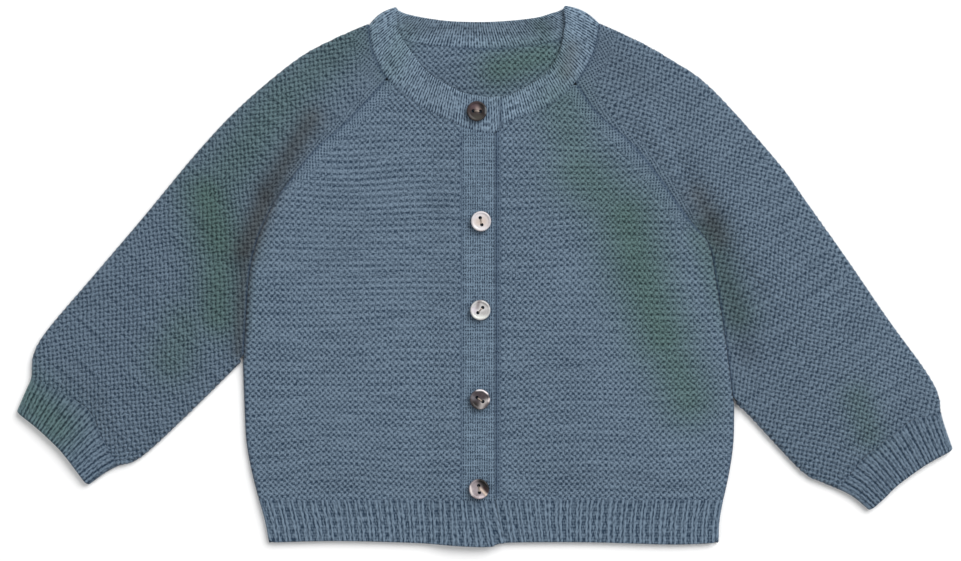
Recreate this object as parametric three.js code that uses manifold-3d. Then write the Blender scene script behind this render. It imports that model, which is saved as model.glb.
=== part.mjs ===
// A baby's knitted raglan cardigan, buttoned and laid flat on its back.
// Millimetres. +Y points from the hem to the neck, +Z up, and X = 0 is the centre front at the buttons.
// Left and right are the wearer's, so the right front, which laps over the left one, lies at -X.
import * as THREE from "three";
import { mergeVertices } from "three/addons/utils/BufferGeometryUtils.js";
import Module from "manifold-3d";

const wasm = await Module();
wasm.setup();

// ---- Driving dimensions ----
const WALL = 2; // knitted cloth
const GAP = 0.3; // between layers that lie on each other, and round the buttons
const SEAM_GAP = 0.45; // between faceted edges that are sewn together
const LAYER = WALL + GAP;
const BACK_MID = WALL / 2; // mid-heights of the cloth layers, from the table up
const FRONT_MID = BACK_MID + LAYER;
const OVERLAP_MID = FRONT_MID + LAYER;
const FOLD_RADIUS = LAYER / 2; // of a tube's folded edge, at mid-thickness
const SIDE_SEAM_Z = BACK_MID + FOLD_RADIUS; // where front and back meet along the side fold

const RIB_TOP = 26; // height of the hem rib
const BAND = { left: -11, right: 7.6, underLeft: -8, underRight: 10.6 };
const RISE = { from: -34, to: -13 }; // the right front climbs onto the under band between these
const ROLL = { height: 2.2, inside: 32, outside: 6 }; // the soft roll along each armhole

const BUTTON = { radius: 5.75, thickness: 2.2, rim: 1.1, dish: 0.5, holeRadius: 0.75, holeSpread: 2 };
const BUTTONHOLE = { length: 9, width: 3 };
const THREAD = { radius: 0.4, shankRadius: 1.1, bar: 0.3 };

// ---- Tables ----
// A table's rows, with each value under its column's name.
const table = (columns, rows) =>
  rows.map((row) => Object.fromEntries(columns.map((name, i) => [name, row[i]])));

// Body outline below the armholes: how far each side fold stands from the centre front.
const SIDES = table(
  ["height", "right", "left"],
  [
    [0, -120.2, 135.3],
    [12, -122.2, 135.7],
    [26, -126.4, 138.2],
    [43, -130.8, 142],
    [60, -133.8, 144.2],
    [81, -135, 144.8],
    [105, -136.2, 144.8],
  ],
);

// Bottom edge of the hem, which dips where the two fronts meet.
const HEM_EDGE = table(
  ["x", "y"],
  [
    [-124, 1.6],
    [-84, 2.6],
    [-40, 1.6],
    [-8, -0.4],
    [6, -0.4],
    [14, 1.6],
    [60, 1.9],
    [110, 0.6],
    [138, 1.8],
  ],
);

// Front armhole lines, from the neckband down the raglan seam and the rolled fold to the underarm.
const ARMHOLE_RIGHT = table(
  ["x", "y"],
  [
    [-54.5, 266.5],
    [-64.6, 254.8],
    [-79.8, 239.4],
    [-95.2, 225.7],
    [-110.6, 206.5],
    [-119.1, 194.4],
    [-127.1, 177.3],
    [-132.2, 158],
    [-134.4, 134],
    [-136.2, 105],
  ],
);
const ARMHOLE_LEFT = table(
  ["x", "y"],
  [
    [54.5, 264],
    [66.7, 247],
    [78.7, 236.6],
    [91.2, 224],
    [104.9, 205.8],
    [117.5, 187.5],
    [130.2, 172],
    [134.6, 151],
    [139.7, 120],
    [144.8, 81],
  ],
);

// Back raglan lines, from the neck down to where they meet the front lines at the side folds.
const BACK_ARMHOLE_RIGHT = table(
  ["x", "y"],
  [
    [-52, 292],
    [-66, 270],
    [-84, 244],
    [-103, 219],
    [-119.1, 194.4],
    [-127.1, 177.3],
    [-132.2, 158],
    [-134.4, 134],
    [-136.2, 105],
  ],
);
const BACK_ARMHOLE_LEFT = table(
  ["x", "y"],
  [
    [54, 292.5],
    [68, 268],
    [86, 241],
    [104, 214],
    [120, 190],
    [130.2, 172],
    [134.6, 151],
    [139.7, 120],
    [144.8, 81],
  ],
);

// Crest of the soft roll beside each front armhole, on the sleeve above and at the body's edge below.
const CREST_RIGHT = table(
  ["y", "x"],
  [
    [81, -136.2],
    [105, -136.2],
    [146, -133.4],
    [177, -127.1],
    [206, -112.8],
    [229, -103.2],
    [254, -86],
    [290, -64],
  ],
);
const CREST_LEFT = table(
  ["y", "x"],
  [
    [60, 144.2],
    [81, 144.8],
    [128, 138.5],
    [151, 134.6],
    [174, 130.2],
    [206, 112.3],
    [226, 103.2],
    [250, 92.6],
    [290, 74],
  ],
);

// Edges of each sleeve with its cuff, from the open end up: the folded outer edge to the neck, and
// the inner edge to the underarm.
const OUTER_EDGE_RIGHT = table(
  ["x", "y"],
  [
    [-264.4, 77],
    [-260, 87.6],
    [-256.5, 96],
    [-255, 109.4],
    [-247, 123.1],
    [-222.9, 151.6],
    [-193.8, 185.8],
    [-160.7, 226.3],
    [-135.1, 252.5],
    [-103.2, 277.9],
    [-64.4, 296.2],
  ],
);
const INNER_EDGE_RIGHT = table(
  ["x", "y"],
  [
    [-223.6, 35.4],
    [-215, 41.4],
    [-207.5, 45.4],
    [-194.4, 50.2],
    [-170.4, 71.8],
    [-136.6, 104.9],
  ],
);
const OUTER_EDGE_LEFT = table(
  ["x", "y"],
  [
    [269.2, 55.6],
    [265.4, 66],
    [262.6, 74.8],
    [260.6, 87],
    [253.1, 104.9],
    [233, 129],
    [209.6, 163.2],
    [185.4, 197.4],
    [169, 220],
    [131.1, 261.1],
    [100, 281.6],
    [67.3, 297.6],
  ],
);
const INNER_EDGE_LEFT = table(
  ["x", "y"],
  [
    [221.4, 20.6],
    [212.6, 27.4],
    [204.1, 31.9],
    [194, 36],
    [181.8, 43.3],
    [153.3, 73.5],
    [145.2, 80.8],
  ],
);

// Where each cuff's rib starts, from the outer edge to the inner edge, and the cuff's open end.
const CUFF_TOP_RIGHT = table(
  ["x", "y"],
  [
    [-256.5, 96],
    [-243.4, 88.4],
    [-225, 77],
    [-216, 60],
    [-207.5, 45.4],
  ],
);
const CUFF_END_RIGHT = table(
  ["x", "y"],
  [
    [-264.4, 77],
    [-255.6, 70.1],
    [-246.2, 60.7],
    [-231.5, 42.8],
    [-223.6, 35.4],
  ],
);
const CUFF_TOP_LEFT = table(
  ["x", "y"],
  [
    [262.6, 74.8],
    [248, 72],
    [234.3, 61.6],
    [219.5, 50],
    [204.1, 31.9],
  ],
);
const CUFF_END_LEFT = table(
  ["x", "y"],
  [
    [269.2, 55.6],
    [253.7, 46.7],
    [235.4, 33.6],
    [228, 25],
    [221.4, 20.6],
  ],
);

// The neckband, station by station round the neck: its sewn edge and its free edge. The first and
// last stations of the back are the shoulder folds, where the band turns over.
const NECKBAND_FRONT_RIGHT = table(
  ["seamX", "seamY", "freeX", "freeY"],
  [
    [10.6, 240, 10.8, 256.4],
    [8, 236.2, 8.2, 256.2],
    [2, 235.6, 3, 256],
    [-9.1, 238.8, -7, 257.6],
    [-17.1, 242.8, -15, 260.6],
    [-32.5, 250.2, -29.6, 269.6],
    [-46.7, 260.5, -40.5, 282.7],
    [-55.9, 270.8, -46.7, 293],
    [-61.6, 283.9, -47.8, 300.6],
    [-63.2, 294.4, -47.4, 305.8],
  ],
);
const NECKBAND_BACK = table(
  ["seamX", "seamY", "freeX", "freeY"],
  [
    [-63.2, 294.4, -47.4, 305.8],
    [-54, 291.6, -42, 303.6],
    [-35.3, 286.7, -29, 301],
    [-17.1, 285, -14, 299.4],
    [7.4, 284.4, 7.4, 299.3],
    [31.4, 286.1, 30, 301.4],
    [45, 289.4, 41, 304.4],
    [56, 292.6, 44.5, 305.4],
    [66.3, 296.2, 46.9, 306.5],
  ],
);
const NECKBAND_FRONT_LEFT = table(
  ["seamX", "seamY", "freeX", "freeY"],
  [
    [66.3, 296.2, 46.9, 306.5],
    [65.2, 287.6, 47.6, 299],
    [62.1, 278.7, 45.6, 285],
    [54.2, 265.6, 39.9, 273.6],
    [41.6, 253.1, 29.6, 264.5],
    [26.2, 246.2, 19, 258.6],
    [13.1, 241.1, 11, 256.4],
    [2, 238.4, 3, 255],
    [-7.6, 238, -6, 255],
  ],
);

// The buttons from the neck down. turn is the slant of the two holes, in degrees from the X axis.
const BUTTONS = table(
  ["x", "y", "turn", "colour"],
  [
    [-2.4, 247.6, -3, 0x4a4140],
    [0, 185, 103, 0xd9d2d6],
    [-0.4, 134.5, 47, 0xd6d3d3],
    [-0.6, 83.7, -35, 0x6f6465],
    [-1.1, 32.8, 96, 0x978a8c],
  ],
);

// ---- Materials ----
const material = (color, roughness) =>
  new THREE.MeshStandardMaterial({ color, roughness, metalness: 0 });
const knit = material(0x5c6d7e, 0.95);
const rib = material(0x627080, 0.95);
const threadMaterial = material(0xa9a299, 0.8);

// ---- Curves ----
const { lerp, clamp, smoothstep } = THREE.MathUtils;

// A smooth line through the x and y of a table's rows, as evenly spaced points.
const line = (rows, divisions = 160) =>
  new THREE.SplineCurve(rows.map(({ x, y }) => new THREE.Vector2(x, y))).getSpacedPoints(divisions);

// A point at a share of the way along such a line.
function along(points, share) {
  const place = clamp(share, 0, 1) * (points.length - 1);
  const i = Math.min(Math.floor(place), points.length - 2);
  return points[i].clone().lerp(points[i + 1], place - i);
}

// The unit normal of a line at a share of the way along it, to the left of its direction.
function normalAlong(points, share) {
  const direction = along(points, share + 0.01).sub(along(points, share - 0.01));
  return new THREE.Vector2(-direction.y, direction.x).normalize();
}

// The line moved sideways by a distance, to the left of its direction.
const beside = (points, distance) =>
  points.map((point, i) =>
    point.clone().addScaledVector(normalAlong(points, i / (points.length - 1)), distance),
  );

// One coordinate of a line where its other coordinate has a given value.
function where(points, key, value, wanted) {
  for (let i = 1; i < points.length; i++) {
    const [a, b] = [points[i - 1], points[i]];
    if ((a[key] - value) * (b[key] - value) <= 0 && a[key] !== b[key]) {
      return lerp(a[wanted], b[wanted], (value - a[key]) / (b[key] - a[key]));
    }
  }
  const [first, last] = [points[0], points[points.length - 1]];
  return (Math.abs(first[key] - value) < Math.abs(last[key] - value) ? first : last)[wanted];
}

// A table as a line, for where() to read.
const readable = (rows, key, column) =>
  line(rows.map((row) => ({ x: row[key], y: row[column] })));
const SIDE = {
  right: readable(SIDES, "height", "right"),
  left: readable(SIDES, "height", "left"),
};
const CREST = {
  right: readable(CREST_RIGHT, "y", "x"),
  left: readable(CREST_LEFT, "y", "x"),
};
const HEM = line(HEM_EDGE);

// The seam lines that neighbouring pieces share.
const seamLine = (rows) => line(rows.map(({ seamX, seamY }) => ({ x: seamX, y: seamY })));
const NECK = {
  right: seamLine(NECKBAND_FRONT_RIGHT),
  left: seamLine(NECKBAND_FRONT_LEFT),
  back: seamLine(NECKBAND_BACK),
};
const ARMHOLE = { right: line(ARMHOLE_RIGHT), left: line(ARMHOLE_LEFT) };
const BACK_ARMHOLE = { right: line(BACK_ARMHOLE_RIGHT), left: line(BACK_ARMHOLE_LEFT) };
const SIGN = { right: -1, left: 1 }; // of X on each side of the body
const SEAM_END = { right: 206, left: 184 }; // where each raglan seam runs out into the rolled edge
const underarm = (side) => ARMHOLE[side].at(-1).y;

// ---- Heights of the front layer ----
// How high the roll beside the armhole stands: gently sloped on the body, steep towards the sleeve.
function roll(side, x, y) {
  const outwards = (x - where(CREST[side], "x", y, "y")) * SIGN[side] * 0.8;
  const reach = outwards > 0 ? ROLL.outside : ROLL.inside;
  const across = 1 - smoothstep(Math.abs(outwards), 0, reach);
  const up = smoothstep(y, underarm(side) - 20, underarm(side) + 35);
  return ROLL.height * across * up * (1 - smoothstep(y, 222, 268));
}
const bodyMid = {
  right: (x, y) => FRONT_MID + LAYER * smoothstep(x, RISE.from, RISE.to) + roll("right", x, y),
  left: (x, y) => FRONT_MID + roll("left", x, y),
  back: () => BACK_MID,
};
const sleeveMid = (side) => (x, y) =>
  FRONT_MID + roll(side, x, y) * smoothstep(y, SEAM_END[side] - 12, SEAM_END[side] + 12);

// ---- Cloth walls ----
// An indexed geometry with its faces turned outwards.
function outward(positions, index) {
  const corner = (i) => new THREE.Vector3().fromArray(positions, 3 * index[i]);
  let volume = 0;
  for (let i = 0; i < index.length; i += 3) {
    volume += corner(i).dot(corner(i + 1).cross(corner(i + 2)));
  }
  if (volume < 0) {
    for (let i = 0; i < index.length; i += 3) [index[i + 1], index[i + 2]] = [index[i + 2], index[i + 1]];
  }
  const geometry = new THREE.BufferGeometry();
  geometry.setAttribute("position", new THREE.Float32BufferAttribute(positions, 3));
  geometry.setIndex(index);
  return geometry;
}

// A closed wall of cloth about a grid of mid-surface points. Each station is one row of the grid,
// and in a tube each row closes on itself.
function clothWall(stations, tube = false) {
  const [rows, columns] = [stations.length, stations[0].length];
  const at = (i, j) => {
    const column = tube ? (j + columns) % columns : clamp(j, 0, columns - 1);
    return stations[clamp(i, 0, rows - 1)][column];
  };
  const positions = [];
  for (const half of [WALL / 2, -WALL / 2]) {
    for (let i = 0; i < rows; i++) {
      for (let j = 0; j < columns; j++) {
        const up = at(i + 1, j).clone().sub(at(i - 1, j));
        const over = at(i, j + 1).clone().sub(at(i, j - 1));
        positions.push(...at(i, j).clone().addScaledVector(up.cross(over).normalize(), half));
      }
    }
  }
  const index = [];
  const quad = (a, b, c, d) => index.push(a, b, c, a, c, d);
  const vertex = (i, j, layer) => layer * rows * columns + i * columns + (j % columns);
  const [lastRow, lastColumn] = [rows - 1, columns - 1];
  const spans = tube ? columns : lastColumn;
  for (let i = 0; i < lastRow; i++) {
    for (let j = 0; j < spans; j++) {
      quad(vertex(i, j, 0), vertex(i + 1, j, 0), vertex(i + 1, j + 1, 0), vertex(i, j + 1, 0));
      quad(vertex(i, j, 1), vertex(i, j + 1, 1), vertex(i + 1, j + 1, 1), vertex(i + 1, j, 1));
    }
    if (!tube) {
      quad(vertex(i, 0, 0), vertex(i, 0, 1), vertex(i + 1, 0, 1), vertex(i + 1, 0, 0));
      quad(
        vertex(i, lastColumn, 0),
        vertex(i + 1, lastColumn, 0),
        vertex(i + 1, lastColumn, 1),
        vertex(i, lastColumn, 1),
      );
    }
  }
  for (let j = 0; j < spans; j++) {
    quad(vertex(0, j, 0), vertex(0, j + 1, 0), vertex(0, j + 1, 1), vertex(0, j, 1));
    quad(vertex(lastRow, j, 0), vertex(lastRow, j, 1), vertex(lastRow, j + 1, 1), vertex(lastRow, j + 1, 0));
  }
  return outward(positions, index);
}

// ---- Body panels ----
const FOLD_SHARES = [0.3, 0.6, 0.85, 1]; // of the quarter turn at a folded side

// The outer edge of a body panel at a height: the side fold, and the armhole line above it.
function outerEdge(side, armhole, y) {
  return y < underarm(side) ? where(SIDE[side], "x", y, "y") : where(armhole, "y", y, "x");
}

// One row of a body panel at a height, from its inner edge to its outer one. The outer edge turns
// towards the side seam by fold, from 0, where it is sewn flat, to 1, a full quarter turn.
function panelRow({ side, inner, outer, y, mid, fold, spans }) {
  const sign = SIGN[side];
  const edge = outer - (sign * fold * WALL) / 2;
  const height = mid(edge, y);
  const seamHeight = SIDE_SEAM_Z + (Math.sign(height - SIDE_SEAM_Z) * SEAM_GAP) / 2;
  const radius = Math.abs(height - seamHeight);
  const start = edge - sign * radius;
  const row = [];
  for (let k = 0; k <= spans; k++) {
    const x = lerp(inner, start, k / spans);
    row.push(new THREE.Vector3(x, y, mid(x, y)));
  }
  for (const share of FOLD_SHARES) {
    const turn = (share * Math.PI) / 2;
    const x = start + sign * radius * lerp(share, Math.sin(turn), fold);
    const folded = lerp(mid(start, y), seamHeight, 1 - Math.cos(turn));
    row.push(new THREE.Vector3(x, y, lerp(mid(x, y), folded, fold)));
  }
  return row;
}

// A row across both sides of the body.
function fullRow(options) {
  const half = (side) => panelRow({ side, inner: 0, ...options(side) });
  return [...half("right").reverse().slice(0, -1), ...half("left")];
}

const foldAt = (side, y) => 1 - smoothstep(y, SEAM_END[side] - 16, SEAM_END[side]);
const LOWER_ROWS = [RIB_TOP + SEAM_GAP / 2, 40, 58, 76, 93]; // heights of the grid rows
const ARMHOLE_ROWS = [110, 124, 140, 156, 168, 179, 190, 200, 211, 222, 232];
const FRONT_ROWS = {
  right: [...LOWER_ROWS, ...ARMHOLE_ROWS, 238.6, 241, 245, 250, 255, 260, 265.4],
  left: [...LOWER_ROWS, ...ARMHOLE_ROWS, 238.6, 241.5, 245, 249, 253, 258, 262.8],
};
const BACK_ROWS = [...LOWER_ROWS, ...ARMHOLE_ROWS, 242, 252, 262, 272, 279, 285, 291];

// A front, from the hem rib to the tip between neckband and raglan seam.
function frontPanel(side) {
  const band = side === "right" ? BAND.left : BAND.underRight;
  const stations = FRONT_ROWS[side].map((y) => {
    const atBand = band + SIGN[side] * SEAM_GAP;
    const atNeck = where(NECK[side], "y", y, "x");
    const pastBand = y > 239 && SIGN[side] * (atNeck - atBand) > 0;
    const inner = pastBand ? atNeck : atBand;
    const outer = outerEdge(side, ARMHOLE[side], y);
    return panelRow({ side, inner, outer, y, mid: bodyMid[side], fold: foldAt(side, y), spans: 6 });
  });
  return clothWall(stations);
}

// The back, scooped a little at the neck between the raglan seams.
function backPanel() {
  const stations = BACK_ROWS.map((y) => {
    const row = fullRow((side) => ({
      outer: outerEdge(side, BACK_ARMHOLE[side], y),
      y,
      mid: bodyMid.back,
      fold: foldAt(side, y),
      spans: 4,
    }));
    const scoop = smoothstep(y, 250, BACK_ROWS.at(-1));
    for (const point of row) {
      const neckY = Math.min(where(NECK.back, "x", point.x, "y"), point.y);
      point.y = lerp(point.y, neckY, scoop);
    }
    return row;
  });
  return clothWall(stations);
}

// ---- Hem rib ----
const HEM_SHARES = [0, 0.34, 0.67, 1]; // from the bottom edge to the seam
const hemHeight = (x, share) => lerp(where(HEM, "x", x, "y"), RIB_TOP - SEAM_GAP / 2, share);
const hemPoints = (row, share) => {
  for (const point of row) point.y = hemHeight(point.x, share);
  return row;
};

function hemBack() {
  const stations = HEM_SHARES.map((share) => {
    const y = hemHeight(0, share);
    const row = fullRow((side) => ({
      outer: outerEdge(side, BACK_ARMHOLE[side], y),
      y,
      mid: bodyMid.back,
      fold: 1,
      spans: 4,
    }));
    return hemPoints(row, share);
  });
  return clothWall(stations);
}

// The hem of one front. The upper one's front edge slants out below the bands.
function hemFront(side) {
  const edge = { right: { bottom: 13.6, top: BAND.right }, left: { bottom: -9, top: -9 } }[side];
  const stations = HEM_SHARES.map((share) => {
    const y = hemHeight(0, share);
    const inner = lerp(edge.bottom, edge.top, share);
    const outer = outerEdge(side, ARMHOLE[side], y);
    const row = panelRow({ side, inner, outer, y, mid: bodyMid[side], fold: 1, spans: 10 });
    return hemPoints(row, share);
  });
  return clothWall(stations);
}

// ---- Sleeves and cuffs ----
const CUFF_LENGTH = 21;
const SLEEVE_STATIONS = [0, 0.1, 0.22, 0.36, 0.51, 0.67, 0.83, 1];
const CUFF_STATIONS = [0, 0.5, 1 - SEAM_GAP / CUFF_LENGTH];
const FOLD_ARC = [45, 0, -45].map(THREE.MathUtils.degToRad); // points of a tube's folded edge
const FOLD_REACH = FOLD_RADIUS + WALL / 2; // from the fold line out to the outer face
const SLEEVES = {
  right: {
    outer: line(OUTER_EDGE_RIGHT),
    inner: line(INNER_EDGE_RIGHT),
    cuffTop: line(CUFF_TOP_RIGHT),
    cuffEnd: line(CUFF_END_RIGHT),
    neckHeights: [289, 281, 272.5],
  },
  left: {
    outer: line(OUTER_EDGE_LEFT),
    inner: line(INNER_EDGE_LEFT),
    cuffTop: line(CUFF_TOP_LEFT),
    cuffEnd: line(CUFF_END_LEFT),
    neckHeights: [290, 281, 271],
  },
};

// A folded edge of sleeve and cuff, as the fold line of each.
function foldLines(edge, corner, inwards) {
  const points = beside(edge, inwards);
  const nearest = edge.reduce((best, p, i) => (p.distanceTo(corner) < edge[best].distanceTo(corner) ? i : best), 0);
  return { cuff: points.slice(0, nearest + 1), sleeve: points.slice(nearest) };
}

// The line that a sleeve's top or under layer is sewn along, from the shoulder fold to the underarm.
// Its points keep to the heights of the body panel's rows, so that both edges have the same facets.
function armholeEnd(side, layer, outer, inner) {
  const [seam, heights] = layer === "front"
    ? [ARMHOLE[side], FRONT_ROWS[side]]
    : [BACK_ARMHOLE[side], BACK_ROWS];
  const neckX = SIGN[side] * 58.5;
  const neck = layer === "front"
    ? SLEEVES[side].neckHeights.map((y) => new THREE.Vector2(where(NECK[side], "y", y, "x"), y))
    : [new THREE.Vector2(neckX, where(NECK.back, "x", neckX, "y"))];
  const sewn = heights
    .filter((y) => y > underarm(side) + 4)
    .toReversed()
    .map((y) => new THREE.Vector2(where(seam, "y", y, "x") + SIGN[side] * Math.SQRT2 * SEAM_GAP, y));
  return [outer.at(-1), ...neck, ...sewn, inner.at(-1)];
}

// The share of a line's length at each of its points.
function lengthShares(points) {
  const lengths = new THREE.Path(points).getCurveLengths();
  return [0, ...lengths.map((length) => length / lengths.at(-1))];
}

// A flattened tube of cloth, open at both ends, from a start line to the end lines of its top and
// under layers. The under layer lies on the table, and the folded edges follow two fold lines.
function flatTube({ side, start, ends, shares, outer, inner, stations, mid }) {
  const rings = stations.map((v) => {
    const layer = (name, height) =>
      shares[name].map((u, i) => {
        const across = along(start, u).lerp(ends[name][i], v);
        const between = along(outer, v).lerp(along(inner, v), u);
        const atStart = along(start, 0).lerp(along(start, 1), u);
        const atEnd = ends[name][0].clone().lerp(ends[name].at(-1), u);
        const { x, y } = across.add(between).sub(atStart.lerp(atEnd, v));
        return new THREE.Vector3(x, y, height(x, y));
      });
    const fold = (edge, outwards) =>
      FOLD_ARC.map((turn) => {
        const out = normalAlong(edge, v).multiplyScalar(outwards * FOLD_RADIUS * Math.cos(turn));
        const { x, y } = along(edge, v).add(out);
        return new THREE.Vector3(x, y, SIDE_SEAM_Z + FOLD_RADIUS * Math.sin(turn));
      });
    return [
      ...layer("front", mid),
      ...fold(inner, SIGN[side]),
      ...layer("back", bodyMid.back).reverse(),
      ...fold(outer, -SIGN[side]).reverse(),
    ];
  });
  return clothWall(rings, true);
}

// A sleeve and its cuff. The cuff's columns of points run on from the sleeve's.
function sleeveAndCuff(side) {
  const { outer, inner, cuffTop, cuffEnd } = SLEEVES[side];
  const outerFold = foldLines(outer, cuffTop[0], SIGN[side] * FOLD_REACH);
  const innerFold = foldLines(inner, cuffTop.at(-1), -SIGN[side] * FOLD_REACH);
  const ends = {
    front: armholeEnd(side, "front", outerFold.sleeve, innerFold.sleeve),
    back: armholeEnd(side, "back", outerFold.sleeve, innerFold.sleeve),
  };
  const shares = { front: lengthShares(ends.front), back: lengthShares(ends.back) };
  const cuffEnds = {
    front: shares.front.map((u) => along(cuffTop, u)),
    back: shares.back.map((u) => along(cuffTop, u)),
  };
  return {
    sleeve: flatTube({
      side,
      start: cuffTop,
      ends,
      shares,
      outer: outerFold.sleeve,
      inner: innerFold.sleeve,
      stations: SLEEVE_STATIONS,
      mid: sleeveMid(side),
    }),
    cuff: flatTube({
      side,
      start: cuffEnd,
      ends: cuffEnds,
      shares,
      outer: outerFold.cuff,
      inner: innerFold.cuff,
      stations: CUFF_STATIONS,
      mid: () => FRONT_MID,
    }),
  };
}

// ---- Neckband and button bands ----
const NECKBAND_SPANS = 3;
const SHOULDER_ARC = [60, 30, 0, -30, -60].map(THREE.MathUtils.degToRad);

// Stations of one part of the neckband, each from the sewn edge to the free edge.
function neckbandPart(rows, count, mid) {
  const curve = (x, y) => new THREE.SplineCurve(rows.map((row) => new THREE.Vector2(row[x], row[y])));
  const seam = curve("seamX", "seamY").getPoints(count);
  const free = curve("freeX", "freeY").getPoints(count);
  return seam.map((sewn, i) => {
    const across = free[i].clone().sub(sewn);
    const from = sewn.clone().addScaledVector(across, SEAM_GAP / across.length());
    return Array.from({ length: NECKBAND_SPANS + 1 }, (_, k) => {
      const { x, y } = from.clone().lerp(free[i], k / NECKBAND_SPANS);
      return new THREE.Vector3(x, y, mid(x, y));
    });
  });
}

// Stations round a shoulder fold, between the band's front and back layers, from top to bottom.
function shoulderFold(station, side) {
  const across = station.at(-1).clone().sub(station[0]);
  const out = new THREE.Vector3(-across.y, across.x, 0).normalize().multiplyScalar(-SIGN[side]);
  return SHOULDER_ARC.map((turn) =>
    station.map((point) => {
      const moved = point.clone().addScaledVector(out, FOLD_RADIUS * Math.cos(turn));
      return moved.setZ(SIDE_SEAM_Z + FOLD_RADIUS * Math.sin(turn));
    }),
  );
}

function neckband() {
  const right = neckbandPart(NECKBAND_FRONT_RIGHT, 22, bodyMid.right);
  const back = neckbandPart(NECKBAND_BACK, 16, bodyMid.back);
  const left = neckbandPart(NECKBAND_FRONT_LEFT, 20, bodyMid.left);
  return clothWall([
    ...right,
    ...shoulderFold(right.at(-1), "right"),
    ...back,
    ...shoulderFold(left[0], "left").reverse(),
    ...left,
  ]);
}

// A straight button band, from the hem rib up to the neckband's seam.
function buttonBand({ left, right, mid, neck }) {
  const [stations, spans] = [5, 4];
  const rows = Array.from({ length: stations + 1 }, (_, i) =>
    Array.from({ length: spans + 1 }, (__, k) => {
      const x = lerp(left, right, k / spans);
      const y = lerp(RIB_TOP + SEAM_GAP / 2, where(neck, "x", x, "y") - SEAM_GAP / 2, i / stations);
      return new THREE.Vector3(x, y, mid);
    }),
  );
  return clothWall(rows);
}

// ---- Booleans ----
// A closed geometry as a manifold-3d solid, and a solid back as a geometry.
function solidOf(geometry) {
  const bare = geometry.clone();
  bare.deleteAttribute("normal");
  bare.deleteAttribute("uv");
  const merged = mergeVertices(bare, 1e-4);
  return new wasm.Manifold(
    new wasm.Mesh({
      numProp: 3,
      vertProperties: merged.attributes.position.array,
      triVerts: new Uint32Array(merged.index.array),
    }),
  );
}
function geometryOf(solid) {
  const { vertProperties, triVerts } = solid.getMesh();
  return outward(Array.from(vertProperties), Array.from(triVerts));
}
const cut = (geometry, tools) =>
  geometryOf(tools.reduce((solid, tool) => solid.subtract(solidOf(tool)), solidOf(geometry)));
const join = (geometries) =>
  geometryOf(geometries.map(solidOf).reduce((solid, other) => solid.add(other)));

// Cloth with a buttonhole under each given button.
function withButtonholes(geometry, buttons) {
  const slots = buttons.map(({ x, y }) =>
    new THREE.BoxGeometry(BUTTONHOLE.length, BUTTONHOLE.width, WALL + GAP).translate(x, y, OVERLAP_MID),
  );
  return cut(geometry, slots);
}

// ---- Buttons ----
const BAND_FACE = OVERLAP_MID + WALL / 2; // upper face of the cloth under the buttons
const BUTTON_BASE = BAND_FACE + 2 * GAP + THREAD.bar;
const upright = (radius, height, sides) =>
  new THREE.CylinderGeometry(radius, radius, height, sides).rotateX(Math.PI / 2);

// A dished shell button with a rounded rim and two holes along X, its underside at Z = 0.
function buttonGeometry() {
  const { radius, thickness, rim, dish, holeRadius, holeSpread } = BUTTON;
  const edge = 0.4;
  const profile = [
    [0, 0],
    [radius - edge, 0],
    [radius, edge],
    [radius, thickness - 1.5 * edge],
    [radius - edge, thickness],
    [radius - rim, thickness - edge / 4],
    [radius - rim - edge, thickness - dish],
    [0, thickness - dish],
  ].map(([r, z]) => new THREE.Vector2(r, z));
  const disc = new THREE.LatheGeometry(profile, 22).rotateX(Math.PI / 2);
  const holes = [-1, 1].map((side) =>
    upright(holeRadius, 4 * thickness, 8).translate(side * holeSpread, 0, 0),
  );
  return cut(disc, holes);
}

// The sewing thread of a button: a shank through the buttonhole, and two legs through the holes,
// joined under the button and over its dish.
function threadGeometry() {
  const { radius, shankRadius, bar } = THREAD;
  const foot = FRONT_MID + WALL / 2 + GAP - BUTTON_BASE;
  const under = -GAP - bar / 2;
  const over = BUTTON.thickness - BUTTON.dish + GAP + bar / 2;
  const reach = 2 * (BUTTON.holeSpread + radius);
  const stay = (z) => new THREE.BoxGeometry(reach, 2 * radius, bar).translate(0, 0, z);
  const shankHeight = under - foot;
  const shank = upright(shankRadius, shankHeight, 10).translate(0, 0, foot + shankHeight / 2);
  const legs = [-1, 1].map((side) =>
    upright(radius * 0.9, over - under, 6).translate(side * BUTTON.holeSpread, 0, (over + under) / 2),
  );
  return join([shank, stay(under), stay(over), ...legs]);
}

// ---- The cardigan ----
const cardigan = new THREE.Group();
function add(name, geometry, finish) {
  const mesh = new THREE.Mesh(geometry, finish);
  mesh.name = name;
  cardigan.add(mesh);
  return mesh;
}

add("back_panel", backPanel(), knit);
add("hem_back", hemBack(), rib);
for (const side of ["right", "left"]) {
  const { sleeve, cuff } = sleeveAndCuff(side);
  add(`front_${side}`, frontPanel(side), knit);
  add(`hem_front_${side}`, hemFront(side), rib);
  add(`sleeve_${side}`, sleeve, knit);
  add(`cuff_${side}`, cuff, rib);
}
const [topButton, ...bandButtons] = BUTTONS;
add("neckband", withButtonholes(neckband(), [topButton]), rib);
add(
  "button_band",
  buttonBand({ left: BAND.underLeft, right: BAND.underRight, mid: FRONT_MID, neck: NECK.left }),
  rib,
);
add(
  "buttonhole_band",
  withButtonholes(
    buttonBand({ left: BAND.left, right: BAND.right, mid: OVERLAP_MID, neck: NECK.right }),
    bandButtons,
  ),
  rib,
);
BUTTONS.forEach(({ x, y, turn, colour }, i) => {
  const pieces = [
    add(`button_${i + 1}`, buttonGeometry(), material(colour, 0.35)),
    add(`button_thread_${i + 1}`, threadGeometry(), threadMaterial),
  ];
  for (const piece of pieces) {
    piece.position.set(x, y, BUTTON_BASE);
    piece.rotation.z = THREE.MathUtils.degToRad(turn);
  }
});

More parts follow.
